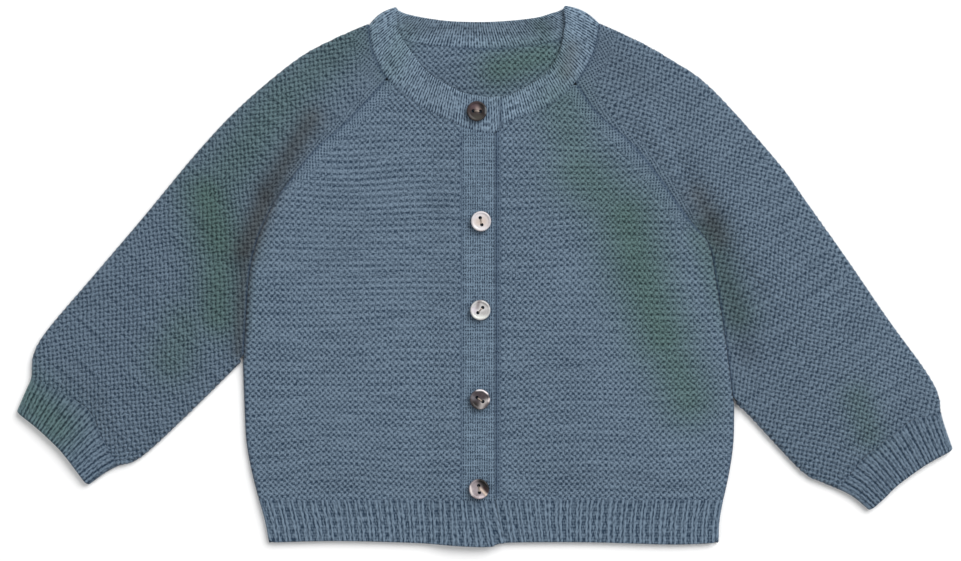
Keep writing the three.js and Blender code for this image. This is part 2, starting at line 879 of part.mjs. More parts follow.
// The origin is the middle of the underside.
const box = new THREE.Box3().setFromObject(cardigan);
const middle = box.getCenter(new THREE.Vector3());
cardigan.position.set(-middle.x, -middle.y, -box.min.z);

export default new THREE.Group().add(cardigan);
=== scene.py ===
"""A baby's knitted raglan cardigan, buttoned and laid flat on its back.

Sizes are millimetres in the garment's own axes: X = 0 is the centre front, Y = 0 the hem, +Y the neck and
Z = 0 the table. Left and right are the wearer's, so the right front, which laps over, lies at -X. Every
piece of cloth is a grid of points on its middle surface, which is given its thickness and its stitches,
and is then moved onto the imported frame.
"""

from __future__ import annotations

import logging
import math
from abc import ABC, abstractmethod
from dataclasses import dataclass, field
from enum import Enum
from typing import Any, Callable, Sequence

import bpy
import numpy as np
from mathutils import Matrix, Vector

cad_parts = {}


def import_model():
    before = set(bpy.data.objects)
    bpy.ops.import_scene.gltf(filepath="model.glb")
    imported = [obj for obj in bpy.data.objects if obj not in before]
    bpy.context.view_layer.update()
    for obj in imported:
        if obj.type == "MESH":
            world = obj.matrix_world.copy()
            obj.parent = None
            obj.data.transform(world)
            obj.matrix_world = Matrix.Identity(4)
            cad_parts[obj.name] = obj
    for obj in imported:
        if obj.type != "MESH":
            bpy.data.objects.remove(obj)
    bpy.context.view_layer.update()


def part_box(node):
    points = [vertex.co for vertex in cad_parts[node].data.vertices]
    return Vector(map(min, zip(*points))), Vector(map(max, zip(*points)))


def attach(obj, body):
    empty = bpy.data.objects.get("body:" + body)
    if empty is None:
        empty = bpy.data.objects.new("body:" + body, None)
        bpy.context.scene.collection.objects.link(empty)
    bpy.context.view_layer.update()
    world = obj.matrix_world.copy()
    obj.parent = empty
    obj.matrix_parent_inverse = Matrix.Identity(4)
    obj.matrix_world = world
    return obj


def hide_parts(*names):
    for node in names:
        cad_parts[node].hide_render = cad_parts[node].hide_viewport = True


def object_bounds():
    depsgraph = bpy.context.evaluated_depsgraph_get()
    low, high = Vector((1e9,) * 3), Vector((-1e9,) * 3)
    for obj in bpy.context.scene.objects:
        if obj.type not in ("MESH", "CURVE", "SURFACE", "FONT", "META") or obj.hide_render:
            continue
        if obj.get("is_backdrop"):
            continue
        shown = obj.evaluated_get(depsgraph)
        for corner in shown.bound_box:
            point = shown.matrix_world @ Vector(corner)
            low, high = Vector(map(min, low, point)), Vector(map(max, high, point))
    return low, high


LOG = logging.getLogger("cardigan")
MM = 0.001
STITCH_MAP = "stitches"
Rows = Sequence[tuple[float, ...]]
Height = Callable[[np.ndarray, np.ndarray], np.ndarray]


# ---- Small tools ----
def smoothstep(value: np.ndarray | float, low: float, high: float) -> np.ndarray:
    """Rise smoothly from 0 at low to 1 at high."""
    share = np.clip((np.asarray(value, float) - low) / (high - low), 0.0, 1.0)
    return share * share * (3.0 - 2.0 * share)


def blend(start: Any, end: Any, share: Any) -> Any:
    """Return the value at a share of the way from start to end."""
    return start + (end - start) * share


def resample(line: np.ndarray, shares: np.ndarray) -> np.ndarray:
    """Pick points on a line at shares of its length.

    Args:
        line: The line's points, one row each.
        shares: Shares of its length, from 0 to 1.

    Returns:
        One point for each share.
    """
    steps = np.linalg.norm(np.diff(line, axis=0), axis=1)
    reach = np.concatenate([[0.0], np.cumsum(steps)])
    columns = [np.interp(np.asarray(shares) * reach[-1], reach, line[:, k]) for k in range(line.shape[1])]
    return np.stack(columns, axis=-1)


def smooth_line(points: Rows | np.ndarray, spans: int = 800) -> np.ndarray:
    """Draw a smooth line through points.

    Args:
        points: What the line passes through, one row each.
        spans: How many even spans the line is cut into.

    Returns:
        The ends of the spans, one row each.
    """
    knots = np.asarray(points, float)
    padded = np.vstack([knots[:1], knots, knots[-1:]])
    t = np.linspace(0.0, 1.0, 24, endpoint=False)[:, None]
    pieces = []
    for before, start, end, after in zip(padded, padded[1:], padded[2:], padded[3:]):
        leave, arrive = (end - before) / 2, (after - start) / 2
        cubic = 2 * start - 2 * end + leave + arrive
        square = 3 * end - 3 * start - 2 * leave - arrive
        pieces.append(cubic * t**3 + square * t**2 + leave * t + start)
    return resample(np.vstack([*pieces, knots[-1:]]), np.linspace(0.0, 1.0, spans + 1))


def x_at(line: np.ndarray, y: np.ndarray | float) -> np.ndarray:
    """Return a line's X at heights Y."""
    order = np.argsort(line[:, 1])
    return np.interp(y, line[order, 1], line[order, 0])


def y_at(line: np.ndarray, x: np.ndarray | float) -> np.ndarray:
    """Return a line's Y at places X."""
    order = np.argsort(line[:, 0])
    return np.interp(x, line[order, 0], line[order, 1])


def across(line: np.ndarray) -> np.ndarray:
    """Return the unit normals of a line's points, to the left of its direction."""
    ahead = np.gradient(line, axis=0)
    normals = np.stack([-ahead[:, 1], ahead[:, 0]], axis=-1)
    return normals / np.linalg.norm(normals, axis=-1, keepdims=True)


def spread(length: float, step: float, rims: tuple[float, float], multiple: int = 1) -> np.ndarray:
    """Space out the points of a grid along a length, closer together over its rounded rims.

    Args:
        length: The length in millimetres.
        step: The spacing away from the rims.
        rims: How far the rounding reaches in from the start and from the end, or 0 for none.
        multiple: The number of spans is a multiple of this.

    Returns:
        Shares of the length, from 0 to 1.
    """
    bends = np.array([0.0, 0.07, 0.27, 0.6])
    head = rims[0] * bends if rims[0] else np.zeros(0)
    tail = length - rims[1] * bends[::-1] if rims[1] else np.zeros(0)
    count = max(2, round((length - sum(rims)) / step) + 1)
    count += -(len(head) + len(tail) + count - 1) % multiple
    return np.concatenate([head, np.linspace(rims[0], length - rims[1], count), tail]) / length


# ---- Shapes drawn on the cloth ----
class Side(Enum):
    """A side of the wearer's body, with the sign of X there."""

    RIGHT = -1
    LEFT = 1

    @property
    def label(self) -> str:
        """Return the side's name in node names."""
        return self.name.lower()


class Held(Enum):
    """How a sheet of cloth is held."""

    LAID = "laid"
    FOLDED = "folded"


@dataclass(frozen=True)
class Streak:
    """A soft streak along a line on the cloth, for folds, hollows, tints, and painted shade and shadows."""

    start: tuple[float, float]
    end: tuple[float, float]
    width: float
    strength: float

    def at(self, x: np.ndarray, y: np.ndarray) -> np.ndarray:
        """Return the streak's strength at places on the cloth."""
        dx, dy = self.end[0] - self.start[0], self.end[1] - self.start[1]
        along = ((x - self.start[0]) * dx + (y - self.start[1]) * dy) / max(dx * dx + dy * dy, 1e-6)
        along = np.clip(along, 0.0, 1.0)
        away = np.hypot(x - self.start[0] - along * dx, y - self.start[1] - along * dy)
        return self.strength * np.exp(-((away / self.width) ** 2))


@dataclass(frozen=True)
class Waver:
    """A slow uneven drift, as knitted rows have, made of a few waves."""

    size: float
    amount: float
    seed: int
    waves: int = 7

    def at(self, x: np.ndarray, y: np.ndarray) -> np.ndarray:
        """Return the drift at places on the cloth."""
        random = np.random.default_rng(self.seed)
        total = np.zeros(np.broadcast(x, y).shape)
        for _ in range(self.waves):
            heading, phase = random.uniform(0.0, 2 * math.pi, 2)
            turns = 2 * math.pi / (self.size * random.uniform(0.6, 1.6))
            total += np.sin(turns * (x * math.cos(heading) + y * math.sin(heading)) + phase)
        return self.amount * total / math.sqrt(self.waves)


@dataclass(frozen=True)
class HalfCut:
    """The outlines of one side of the cardigan, each from the neck or the open end on."""

    side: Side
    side_fold: Rows  # below the armhole, from the hem up
    armhole: Rows
    back_armhole: Rows
    crest: Rows  # of the soft roll beside the armhole
    outer_edge: Rows  # of sleeve and cuff, from the open end to the neck
    inner_edge: Rows  # from the open end to the underarm
    cuff_top: Rows  # from the outer edge to the inner edge
    cuff_end: Rows
    neck: Rows  # sewn edge, then free edge, of the neckband
    neck_heights: tuple[float, ...]
    seam_end: float  # where the raglan seam runs out into the rolled edge
    band_edge: float  # the front panel's sewn edge
    hem_inner: float  # front edge of the hem
    wale_heading: tuple[float, float]  # of the sleeve's columns of stitches, towards the cuff

    @property
    def underarm(self) -> float:
        """Return the height where the armhole meets the side fold."""
        return self.armhole[-1][1]


RIGHT = HalfCut(
    side=Side.RIGHT,
    side_fold=(
        (-121.6, 0), (-123.6, 12), (-127.2, 26), (-131.4, 43), (-134.4, 60), (-135.5, 81), (-136.4, 105),
    ),
    armhole=(
        (-54.5, 266.5), (-64.6, 254.8), (-79.8, 239.4), (-95.2, 225.7), (-110.6, 206.5),
        (-119.1, 194.4), (-127.1, 177.3), (-132.2, 158), (-134.4, 134), (-136.2, 105),
    ),
    back_armhole=(
        (-52, 292), (-66, 270), (-84, 244), (-103, 219), (-119.1, 194.4), (-127.1, 177.3),
        (-132.2, 158), (-134.4, 134), (-136.2, 105),
    ),
    crest=(
        (-136.2, 81), (-136.2, 105), (-133.4, 146), (-127.1, 177), (-112.8, 206), (-103.2, 229),
        (-86, 254), (-64, 290),
    ),
    outer_edge=(
        (-265.6, 75.9), (-260.6, 87.4), (-257.1, 96), (-255.8, 109.4), (-247.8, 123.4), (-223.6, 151.9),
        (-194.4, 186.1), (-160.9, 226.4), (-135.4, 253), (-105.4, 277.8), (-85, 289.2), (-64.4, 298.2),
    ),
    inner_edge=(
        (-224.6, 33.9), (-215, 41), (-207.5, 45), (-194.4, 50), (-170.4, 71.6), (-136.6, 104.9),
    ),
    cuff_top=((-257.1, 96), (-243.4, 88.4), (-225, 77), (-216, 60), (-207.5, 45)),
    cuff_end=((-265.6, 75.9), (-256.6, 68.9), (-247.2, 60.6), (-238, 51.2), (-224.6, 33.9)),
    neck=(
        (10.6, 240, 10.8, 256.4), (8, 236.2, 8.2, 256.2), (2, 235.6, 3, 256),
        (-9.1, 238.8, -7, 257.6), (-17.1, 242.8, -15, 260.6), (-32.5, 250.2, -29.6, 269.6),
        (-46.7, 260.5, -40.5, 282.7), (-55.9, 270.8, -46.7, 293), (-61.6, 283.9, -47.8, 300.6),
        (-63.2, 294.4, -47.4, 305.8),
    ),
    neck_heights=(289, 281, 275, 270, 267.5),
    seam_end=206,
    band_edge=-11,
    hem_inner=7.6,
    wale_heading=(-0.63, -0.78),
)
LEFT = HalfCut(
    side=Side.LEFT,
    side_fold=(
        (136.2, 0), (136.5, 12), (138.8, 26), (142.4, 43), (144.6, 60), (145, 81), (145, 105),
    ),
    armhole=(
        (54.5, 264), (66.7, 247), (78.7, 236.6), (91.2, 224), (104.9, 205.8), (117.5, 187.5),
        (130.2, 172), (134.6, 151), (139.7, 120), (144.8, 81),
    ),
    back_armhole=(
        (54, 292.5), (68, 268), (86, 241), (104, 214), (120, 190), (130.2, 172), (134.6, 151),
        (139.7, 120), (144.8, 81),
    ),
    crest=(
        (144.2, 60), (144.8, 81), (138.5, 128), (134.6, 151), (130.2, 174), (112.3, 206),
        (103.2, 226), (92.6, 250), (74, 290),
    ),
    outer_edge=(
        (269.9, 54.4), (265.8, 66), (263.2, 74.8), (261.2, 87), (253.4, 101), (233, 129),
        (209.6, 163.2), (185.4, 197.4), (169, 220), (131.6, 261.4), (108.8, 277.6), (89.4, 288.6),
        (67.3, 298.6),
    ),
    inner_edge=(
        (222.1, 19.4), (212.6, 27.4), (204.1, 31.9), (194, 36), (181.8, 43.3), (153.3, 73.5),
        (145.2, 80.8),
    ),
    cuff_top=((262.6, 74.8), (248, 72), (234.3, 61.6), (219.5, 50), (204.1, 31.9)),
    cuff_end=((269.9, 54.4), (254.4, 45.8), (238, 34), (229.6, 26), (222.1, 19.4)),
    neck=(
        (66.3, 296.2, 46.9, 306.5), (65.2, 287.6, 47.6, 299), (62.1, 278.7, 45.6, 285),
        (54.2, 265.6, 39.9, 273.6), (41.6, 253.1, 29.6, 264.5), (26.2, 246.2, 19, 258.6),
        (13.1, 241.1, 11, 256.4), (2, 238.4, 3, 255), (-7.6, 238, -6, 255),
    ),
    neck_heights=(290, 281, 273, 268, 265),
    seam_end=184,
    band_edge=10.6,
    hem_inner=-9,
    wale_heading=(0.53, -0.85),
)
HALVES = (RIGHT, LEFT)
BACK_NECK: Rows = (
    (-63.2, 294.4, -47.4, 305.8), (-54, 291.6, -42, 303.6), (-35.3, 286.7, -29, 301),
    (-17.1, 285, -14, 299.4), (7.4, 284.4, 7.4, 299.3), (31.4, 286.1, 30, 301.4),
    (45, 289.4, 41, 304.4), (56, 292.6, 44.5, 305.4), (66.3, 296.2, 46.9, 306.5),
)


# ---- Stitches ----
def node(
    tree: bpy.types.NodeTree, kind: str, inputs: dict[int | str, Any] | None = None, **settings: Any
) -> Any:
    """Add a node with its settings and links.

    Args:
        tree: The node tree that gets the node.
        kind: The node's type.
        inputs: A value or another node's output for each input, by its number or name.
        **settings: The node's own settings.

    Returns:
        The new node.
    """
    made = tree.nodes.new(kind)
    for name, value in settings.items():
        setattr(made, name, value)
    for key, value in (inputs or {}).items():
        if isinstance(value, bpy.types.NodeSocket):
            tree.links.new(value, made.inputs[key])
        else:
            made.inputs[key].default_value = value
    return made


@dataclass(frozen=True)
class Stitch(ABC):
    """A way of knitting. Wales are its columns of stitches and courses its rows."""

    wale: float
    course: float
    relief: float

    @abstractmethod
    def height(self, u: np.ndarray, v: np.ndarray) -> np.ndarray:
        """Return how high the stitches stand, about 0 to 1, at u wales and v courses."""

    @abstractmethod
    def nodes(self, tree: bpy.types.NodeTree, u: Any, v: Any) -> Any:
        """Add nodes that work out height from the sockets u and v, and return their output."""


@dataclass(frozen=True)
class SeedStitch(Stitch):
    """Seed stitch: knit and purl in a checkerboard, so small holes alternate with raised loops."""

    wale: float = 1.62
    course: float = 1.68
    relief: float = 0.5
    rows: float = 0.12  # every other course stands out by this much as a row
    lined_rows: float = 0.12  # and by this much more where the rows show as lines
    lined_wales: float = -0.26  # where the wales show less

    def height(self, u: np.ndarray, v: np.ndarray) -> np.ndarray:
        """Return how high the stitches stand, as Stitch.height does."""
        return 0.5 + (0.5 * np.cos(np.pi * u) + self.rows) * np.cos(np.pi * v)

    def nodes(self, tree: bpy.types.NodeTree, u: Any, v: Any) -> Any:
        """Add nodes for the height, as Stitch.nodes does."""
        waves = []
        lined = node(tree, "ShaderNodeAttribute", attribute_name="lined").outputs["Fac"]
        for count in (u, v):
            turn = node(tree, "ShaderNodeMath", {0: count, 1: math.pi}, operation="MULTIPLY")
            waves.append(node(tree, "ShaderNodeMath", {0: turn.outputs[0]}, operation="COSINE").outputs[0])
        rows, wales = (
            node(tree, "ShaderNodeMath", {0: lined, 1: gain, 2: level}, operation="MULTIPLY_ADD").outputs[0]
            for gain, level in ((self.lined_rows, self.rows), (self.lined_wales, 0.5))
        )
        checks = {0: waves[0], 1: wales, 2: rows}
        board = node(tree, "ShaderNodeMath", checks, operation="MULTIPLY_ADD").outputs[0]
        shifted = {0: board, 1: waves[1], 2: 0.5}
        return node(tree, "ShaderNodeMath", shifted, operation="MULTIPLY_ADD").outputs[0]


@dataclass(frozen=True)
class Rib(Stitch):
    """Ribbing: raised wales with sunk ones between them.

    Attributes:
        wave: Heights of the waves that make one repeat, each as (cycles in a repeat, height).
        ladder: How strongly the sunk wales show their bars.
        start: Where in a repeat the raised wales have their middle.
    """

    wave: tuple[tuple[int, float], ...] = ((1, 0.5),)
    ladder: float = 0.12
    start: float = 0.0

    def height(self, u: np.ndarray, v: np.ndarray) -> np.ndarray:
        """Return how high the stitches stand, as Stitch.height does."""
        place = 2 * np.pi * (u - self.start)
        raised = sum(size * np.cos(cycles * place) for cycles, size in self.wave)
        bars = self.ladder * np.cos(2 * np.pi * v) * (0.5 - 0.5 * np.cos(place))
        return 0.5 + raised + bars

    def nodes(self, tree: bpy.types.NodeTree, u: Any, v: Any) -> Any:
        """Add nodes for the height, as Stitch.nodes does."""
        total: Any = 0.5
        bars_turn = node(tree, "ShaderNodeMath", {0: v, 1: 2 * math.pi}, operation="MULTIPLY")
        bars = node(tree, "ShaderNodeMath", {0: bars_turn.outputs[0]}, operation="COSINE").outputs[0]
        for cycles, size in self.wave:
            place = {0: u, 1: 2 * math.pi * cycles, 2: -2 * math.pi * cycles * self.start}
            turn = node(tree, "ShaderNodeMath", place, operation="MULTIPLY_ADD")
            wave = node(tree, "ShaderNodeMath", {0: turn.outputs[0]}, operation="COSINE").outputs[0]
            added = {0: wave, 1: size, 2: total}
            total = node(tree, "ShaderNodeMath", added, operation="MULTIPLY_ADD").outputs[0]
            if cycles == 1:
                sunk = {0: wave, 1: -self.ladder / 2, 2: self.ladder / 2}
                share = node(tree, "ShaderNodeMath", sunk, operation="MULTIPLY_ADD").outputs[0]
                bars = node(tree, "ShaderNodeMath", {0: bars, 1: share}, operation="MULTIPLY").outputs[0]
        return node(tree, "ShaderNodeMath", {0: total, 1: bars}, operation="ADD").outputs[0]


@dataclass(frozen=True)
class Rim:
    """How the edge of a piece of cloth is rounded.

    Attributes:
        reach: How far in the rounding starts.
        floor: The share of the thickness left at the edge itself.
        gaps: How dark the gaps between the stitches of the seam are, from 0 to 1.
    """

    reach: float
    floor: float
    gaps: float = 0.0


SEED = SeedStitch()
STOCKING = Rib(wale=1.62, course=1.68, relief=0.0, wave=((1, 0.3),), ladder=0.35)
OPEN = Rim(1.0, 0.1)  # an edge that shows
SEWN = Rim(1.6, 0.45, 0.9)  # an edge pulled down into a seam
LINKED = Rim(1.0, 0.55, 0.35)  # an edge joined loop by loop
RUN_ON = Rim(0.6, 0.8, 0.2)  # an edge where the knitting goes on in another stitch
NONE = Rim(0.0, 1.0)
SLEEVE_SEED = SeedStitch(course=1.8)
# Two raised wales stand close together, then two sunk ones, which show as a ladder.
BROAD_RIB = Rib(
    wale=6.1, course=1.6, relief=0.5, wave=((1, 0.12), (2, -0.22), (3, -0.2)), ladder=0.12, start=0.31
)
# Drawn in and stretched over the wrist, each pair of raised wales shows as two ridges.
CUFF_RIB = Rib(wale=5.35, course=1.6, relief=0.55, wave=((1, 0.15), (2, -0.33)), ladder=0.1, start=0.25)
NECK_RIB = Rib(wale=1.53, course=1.7, relief=0.35, wave=((1, 0.33),), ladder=0.12)
BAND_RIB = Rib(wale=1.33, course=2.1, relief=0.25, wave=((1, 0.34),), ladder=0.3)


# ---- Finishes ----
def linear(code: str) -> tuple[float, float, float, float]:
    """Turn an sRGB hex colour such as #5C6D7E into linear red, green, blue and alpha."""
    channels = (int(code[k : k + 2], 16) / 255 for k in (1, 3, 5))
    lit = (c / 12.92 if c <= 0.04045 else ((c + 0.055) / 1.055) ** 2.4 for c in channels)
    return (*lit, 1.0)


def empty_material(name: str) -> bpy.types.Material:
    """Return a new material whose node tree is empty."""
    made = bpy.data.materials.new(name)
    made.use_nodes = True
    made.node_tree.nodes.clear()
    return made


@dataclass(frozen=True)
class KnittedYarn:
    """Spun wool and cotton yarn, knitted by machine.

    The fibres scatter light in every direction, so it looks matt with a faint pale bloom at its edges. The
    yarn is dyed before spinning, which leaves lighter and darker flecks along it, and light is lost in the
    holes between its loops.
    """

    name: str
    stitch: Stitch
    loop: str = "#6C7E8F"  # raised loops
    hole: str = "#1B2F42"  # between them
    gap: str = "#1C3048"  # in the gaps along a seam, and in the painted shadows beside the over band and round the buttons
    moss: str = "#53706A"  # greenish tint of some areas
    painted_shadow: str = "#5A6164"  # painted shadow: the brownish dark of the deepest shade beside the rolled folds
    moss_hole: str = "#142724"
    # the painted shadow's colour in the holes between the loops
    painted_shadow_hole: str = "#262A30"
    fleck_size: float = 0.8  # flecks are a little longer than the yarn is thick
    fleck: float = 1.9
    uneven_size: float = 2.6  # loops differ from one to the next, over about a stitch and a half
    uneven: float = 0.6
    stretch: float = 1.0  # flecks and uneven loops run this much longer along the wales
    row_length: float = 14.0  # some rows are knitted a little tighter than others, over this many wales
    row: float = 0.6
    cloud_size: float = 28.0
    cloud: float = 0.05
    dark_end: float = -0.05  # height, from hole to loop, where the yarn is darkest
    light_end: float = 0.94  # and where it is lightest

    def material(self) -> bpy.types.Material:
        """Build the yarn's material."""
        made = empty_material(self.name)
        tree = made.node_tree
        uv = node(tree, "ShaderNodeUVMap", uv_map=STITCH_MAP)
        counts = node(tree, "ShaderNodeSeparateXYZ", {0: uv.outputs[0]})
        place = node(tree, "ShaderNodeTexCoord").outputs["Object"]
        height = self.stitch.nodes(tree, counts.outputs[0], counts.outputs[1])
        plain = node(tree, "ShaderNodeAttribute", attribute_name="plain").outputs["Fac"]
        smooth = STOCKING.nodes(tree, counts.outputs[0], counts.outputs[1])
        calm = node(tree, "ShaderNodeMix", {0: plain, 2: height, 3: smooth}).outputs[0]
        pitch = (self.stitch.wale * MM, self.stitch.course * MM / self.stretch, 0.0)
        sized = {0: uv.outputs[0], 1: pitch}
        knit = node(tree, "ShaderNodeVectorMath", sized, operation="MULTIPLY").outputs[0]
        fleck = self.noise(tree, knit, self.fleck_size, 0.5)
        cloud = self.noise(tree, place, self.cloud_size, 2.0)
        uneven = self.noise(tree, knit, self.uneven_size, 1.0)
        along = {0: uv.outputs[0], 1: (1.0 / self.row_length, 1.0, 0.0)}
        rows = node(tree, "ShaderNodeVectorMath", along, operation="MULTIPLY").outputs[0]
        row = node(tree, "ShaderNodeTexNoise", {"Vector": rows, "Scale": 0.7, "Detail": 1.0}).outputs[0]
        level = calm
        for noise, amount in ((fleck, self.fleck), (uneven, self.uneven), (row, self.row)):
            drift = {0: noise, 1: amount, 2: level}
            level = node(tree, "ShaderNodeMath", drift, operation="MULTIPLY_ADD").outputs[0]
        middle = (self.fleck + self.uneven + self.row) / 2
        shaped = {"Value": level, "From Min": self.dark_end + middle, "From Max": self.light_end + middle}
        light = node(tree, "ShaderNodeMapRange", shaped).outputs[0]
        colour = self.colours(tree, light)
        bright = {"Value": cloud, "To Min": 1.0 - self.cloud, "To Max": 1.0 + self.cloud}
        shade = node(tree, "ShaderNodeMapRange", bright).outputs[0]
        # The shade attribute darkens the colour by the piece's tone and by painted shade.
        dark = node(tree, "ShaderNodeAttribute", attribute_name="shade").outputs["Fac"]
        kept = node(tree, "ShaderNodeMath", {0: 1.0, 1: dark}, operation="SUBTRACT").outputs[0]
        shade = node(tree, "ShaderNodeMath", {0: shade, 1: kept}, operation="MULTIPLY").outputs[0]
        lit = node(tree, "ShaderNodeVectorMath", {0: colour, "Scale": shade}, operation="SCALE").outputs[0]
        # Darken towards the gap colour in the seams' gaps and in the painted shadows beside the over band and
        # round the buttons.
        gaps = node(tree, "ShaderNodeAttribute", attribute_name="gaps").outputs["Fac"]
        sunk = {0: gaps, 6: lit, 7: linear(self.gap)}
        hued = node(tree, "ShaderNodeMix", sunk, data_type="RGBA").outputs[2]
        rough = node(tree, "ShaderNodeMapRange", {"Value": fleck, "To Min": 0.82, "To Max": 0.98}).outputs[0]
        pile = node(tree, "ShaderNodeMath", {0: fleck, 1: 0.5, 2: calm}, operation="MULTIPLY_ADD").outputs[0]
        raised = {"Height": pile, "Strength": 0.6, "Distance": 0.25 * MM}
        bump = node(tree, "ShaderNodeBump", raised).outputs[0]
        shader = node(
            tree,
            "ShaderNodeBsdfPrincipled",
            {"Base Color": hued, "Roughness": rough, "Normal": bump, "IOR": 1.5, "Specular IOR Level": 0.25,
             "Sheen Weight": 0.12, "Sheen Roughness": 0.5},
        )
        node(tree, "ShaderNodeOutputMaterial", {"Surface": shader.outputs[0]})
        return made

    def colours(self, tree: bpy.types.NodeTree, light: Any) -> Any:
        """Add the nodes that mix hole, loop and tint colours, and the colours of the painted shadow.

        Args:
            tree: The material's node tree.
            light: The socket that runs from 0 in a hole to 1 on a loop.

        Returns:
            The socket with the colour.
        """
        pairs = ((self.hole, self.loop), (self.moss_hole, self.moss), (self.painted_shadow_hole, self.painted_shadow))
        mixed = []
        for deep, raised in pairs:
            ends = {0: light, 6: linear(deep), 7: linear(raised)}
            mixed.append(node(tree, "ShaderNodeMix", ends, data_type="RGBA").outputs[2])
        colour = mixed[0]
        # Mix in the moss tint, then the painted shadow beside the folds, each where its mask says.
        for tint, name in ((mixed[1], "moss"), (mixed[2], "painted_shadow")):
            share = node(tree, "ShaderNodeAttribute", attribute_name=name).outputs["Fac"]
            colour = node(tree, "ShaderNodeMix", {0: share, 6: colour, 7: tint}, data_type="RGBA").outputs[2]
        return colour

    @staticmethod
    def noise(tree: bpy.types.NodeTree, place: Any, size: float, detail: float) -> Any:
        """Add noise of a size in millimetres and return its output."""
        inputs = {"Vector": place, "Scale": 1.0 / (size * MM), "Detail": detail, "Roughness": 0.6}
        return node(tree, "ShaderNodeTexNoise", inputs).outputs[0]


# ---- Cloth ----
@dataclass
class Cloth:
    """A grid of points on the middle surface of a piece of cloth.

    Attributes:
        mid: The points, as rows and columns, in millimetres.
        counts: The wales and courses up to each point.
        stitch: How the cloth is knitted.
        facing: 1 where a step up the rows crossed with one along them points out of the cloth, or else -1.
        tube: Whether every row closes on itself.
        rims: How far the rounding reaches in from the first and last row and the first and last column.
        coarse: The inner face keeps one row and one column in so many.
        plain: How far the pattern gives way to smooth stitches at each point, from 0 to 1.
        wall: The cloth's thickness.
        level_rows: The share of the rows, from the first, that run level across the cloth.
        dot_pitch: The spacing of the gaps between the stitches of a seam.
        tone: How much darker the whole piece is, from 0 to 1.
    """

    mid: np.ndarray
    counts: np.ndarray
    stitch: Stitch
    facing: int = 1
    tube: bool = False
    rims: tuple[Rim, Rim, Rim, Rim] = (NONE, NONE, NONE, NONE)
    coarse: int = 3
    plain: np.ndarray | None = None
    wall: float = 2.0
    level_rows: float = 1.0
    dot_pitch: float = 2.7
    tone: float = 0.0
    seam_reach: float = 1.6  # how far in from a sewn edge the gaps between its stitches show

    def normals(self) -> np.ndarray:
        """Return the unit normals that point out of the cloth."""
        up = np.gradient(self.mid, axis=0)
        if self.tube:
            over = np.roll(self.mid, -1, axis=1) - np.roll(self.mid, 1, axis=1)
        else:
            over = np.gradient(self.mid, axis=1)
        normals = np.cross(up, over) * self.facing
        return normals / np.maximum(np.linalg.norm(normals, axis=-1, keepdims=True), 1e-9)

    def distances(self) -> list[np.ndarray]:
        """Return how far each point lies from the first and last row and the first and last column."""
        found = []
        for axis in (0, 1):
            steps = np.linalg.norm(np.diff(self.mid, axis=axis), axis=-1)
            before = np.insert(np.cumsum(steps, axis=axis), 0, 0.0, axis=axis)
            total = np.take(before, [-1], axis=axis)
            found += [before, total - before]
        return found

    def half(self) -> np.ndarray:
        """Return half the thickness at each point, rounded down to the rims."""
        half = np.full(self.mid.shape[:2], self.wall / 2)
        for away, rim in zip(self.distances(), self.rims):
            if rim.reach:
                inward = 1.0 - np.clip(away / rim.reach, 0.0, 1.0)
                half *= blend(rim.floor, 1.0, np.sqrt(1.0 - inward**2))
        return half

    def shade(self) -> np.ndarray:
        """Return how dark each point is for the gaps between stitches along the sewn edges, from 0 to 1."""
        shade = np.zeros(self.mid.shape[:2])
        before = self.distances()
        for k, (away, rim) in enumerate(zip(before, self.rims)):
            if rim.gaps:
                dots = 0.7 + 0.3 * np.cos(2 * math.pi * before[2 if k < 2 else 0] / self.dot_pitch)
                shade = np.maximum(shade, rim.gaps * dots * np.exp(-((away / self.seam_reach) ** 2)))
        return shade

    def faces(self) -> list[list[int]]:
        """Return the corners of the faces of both sides and of the edges between them."""
        rows, columns = self.mid.shape[:2]
        step = self.coarse
        inner_columns = columns // step if self.tube else (columns - 1) // step + 1
        inner_rows = (rows - 1) // step + 1

        def outer(i: Any, j: Any) -> Any:
            """Return the numbers of points of the outer face."""
            return i * columns + (j % columns if self.tube else j)

        def inner(i: Any, j: Any) -> Any:
            """Return the numbers of points of the inner face."""
            return rows * columns + i * inner_columns + (j % inner_columns if self.tube else j)

        spans = columns if self.tube else columns - 1
        inner_spans = inner_columns if self.tube else inner_columns - 1
        faces = []
        for vertex, height, width, turned in (
            (outer, rows - 1, spans, False),
            (inner, inner_rows - 1, inner_spans, True),
        ):
            i, j = (grid.ravel() for grid in np.meshgrid(np.arange(height), np.arange(width), indexing="ij"))
            ring = ((0, 0), (1, 0), (1, 1), (0, 1))
            quads = np.stack([vertex(i + up, j + over) for up, over in ring], axis=-1)
            faces += (quads[:, ::-1] if turned else quads).tolist()
        for j in range(inner_spans):
            for row, inner_row, flip in ((0, 0, False), (rows - 1, inner_rows - 1, True)):
                edge = [outer(row, j * step + k) for k in range(step + 1)]
                rim = edge + [inner(inner_row, j + 1), inner(inner_row, j)]
                faces.append(rim[::-1] if flip else rim)
        if not self.tube:
            for i in range(inner_rows - 1):
                for column, inner_column, flip in ((0, 0, False), (columns - 1, inner_columns - 1, True)):
                    edge = [outer(i * step + k, column) for k in range(step, -1, -1)]
                    rim = [inner(i, inner_column), inner(i + 1, inner_column), *edge]
                    faces.append(rim[::-1] if flip else rim)
        return [face[::-1] for face in faces] if self.facing < 0 else faces

    def flat(self) -> tuple[float, float]:
        """Return the length of the longest level row and of the longest column in millimetres."""
        grid = np.concatenate([self.mid, self.mid[:, :1]], axis=1) if self.tube else self.mid
        level = grid[: round(self.level_rows * len(grid))]
        width = np.linalg.norm(np.diff(level, axis=1), axis=-1).sum(axis=1).max()
        length = np.linalg.norm(np.diff(grid, axis=0), axis=-1).sum(axis=0).max()
        return float(width), float(length)


def add_object(name: str, data: Any) -> bpy.types.Object:
    """Add an object with its data to the scene."""
    made = bpy.data.objects.new(name, data)
    bpy.context.scene.collection.objects.link(made)
    return made


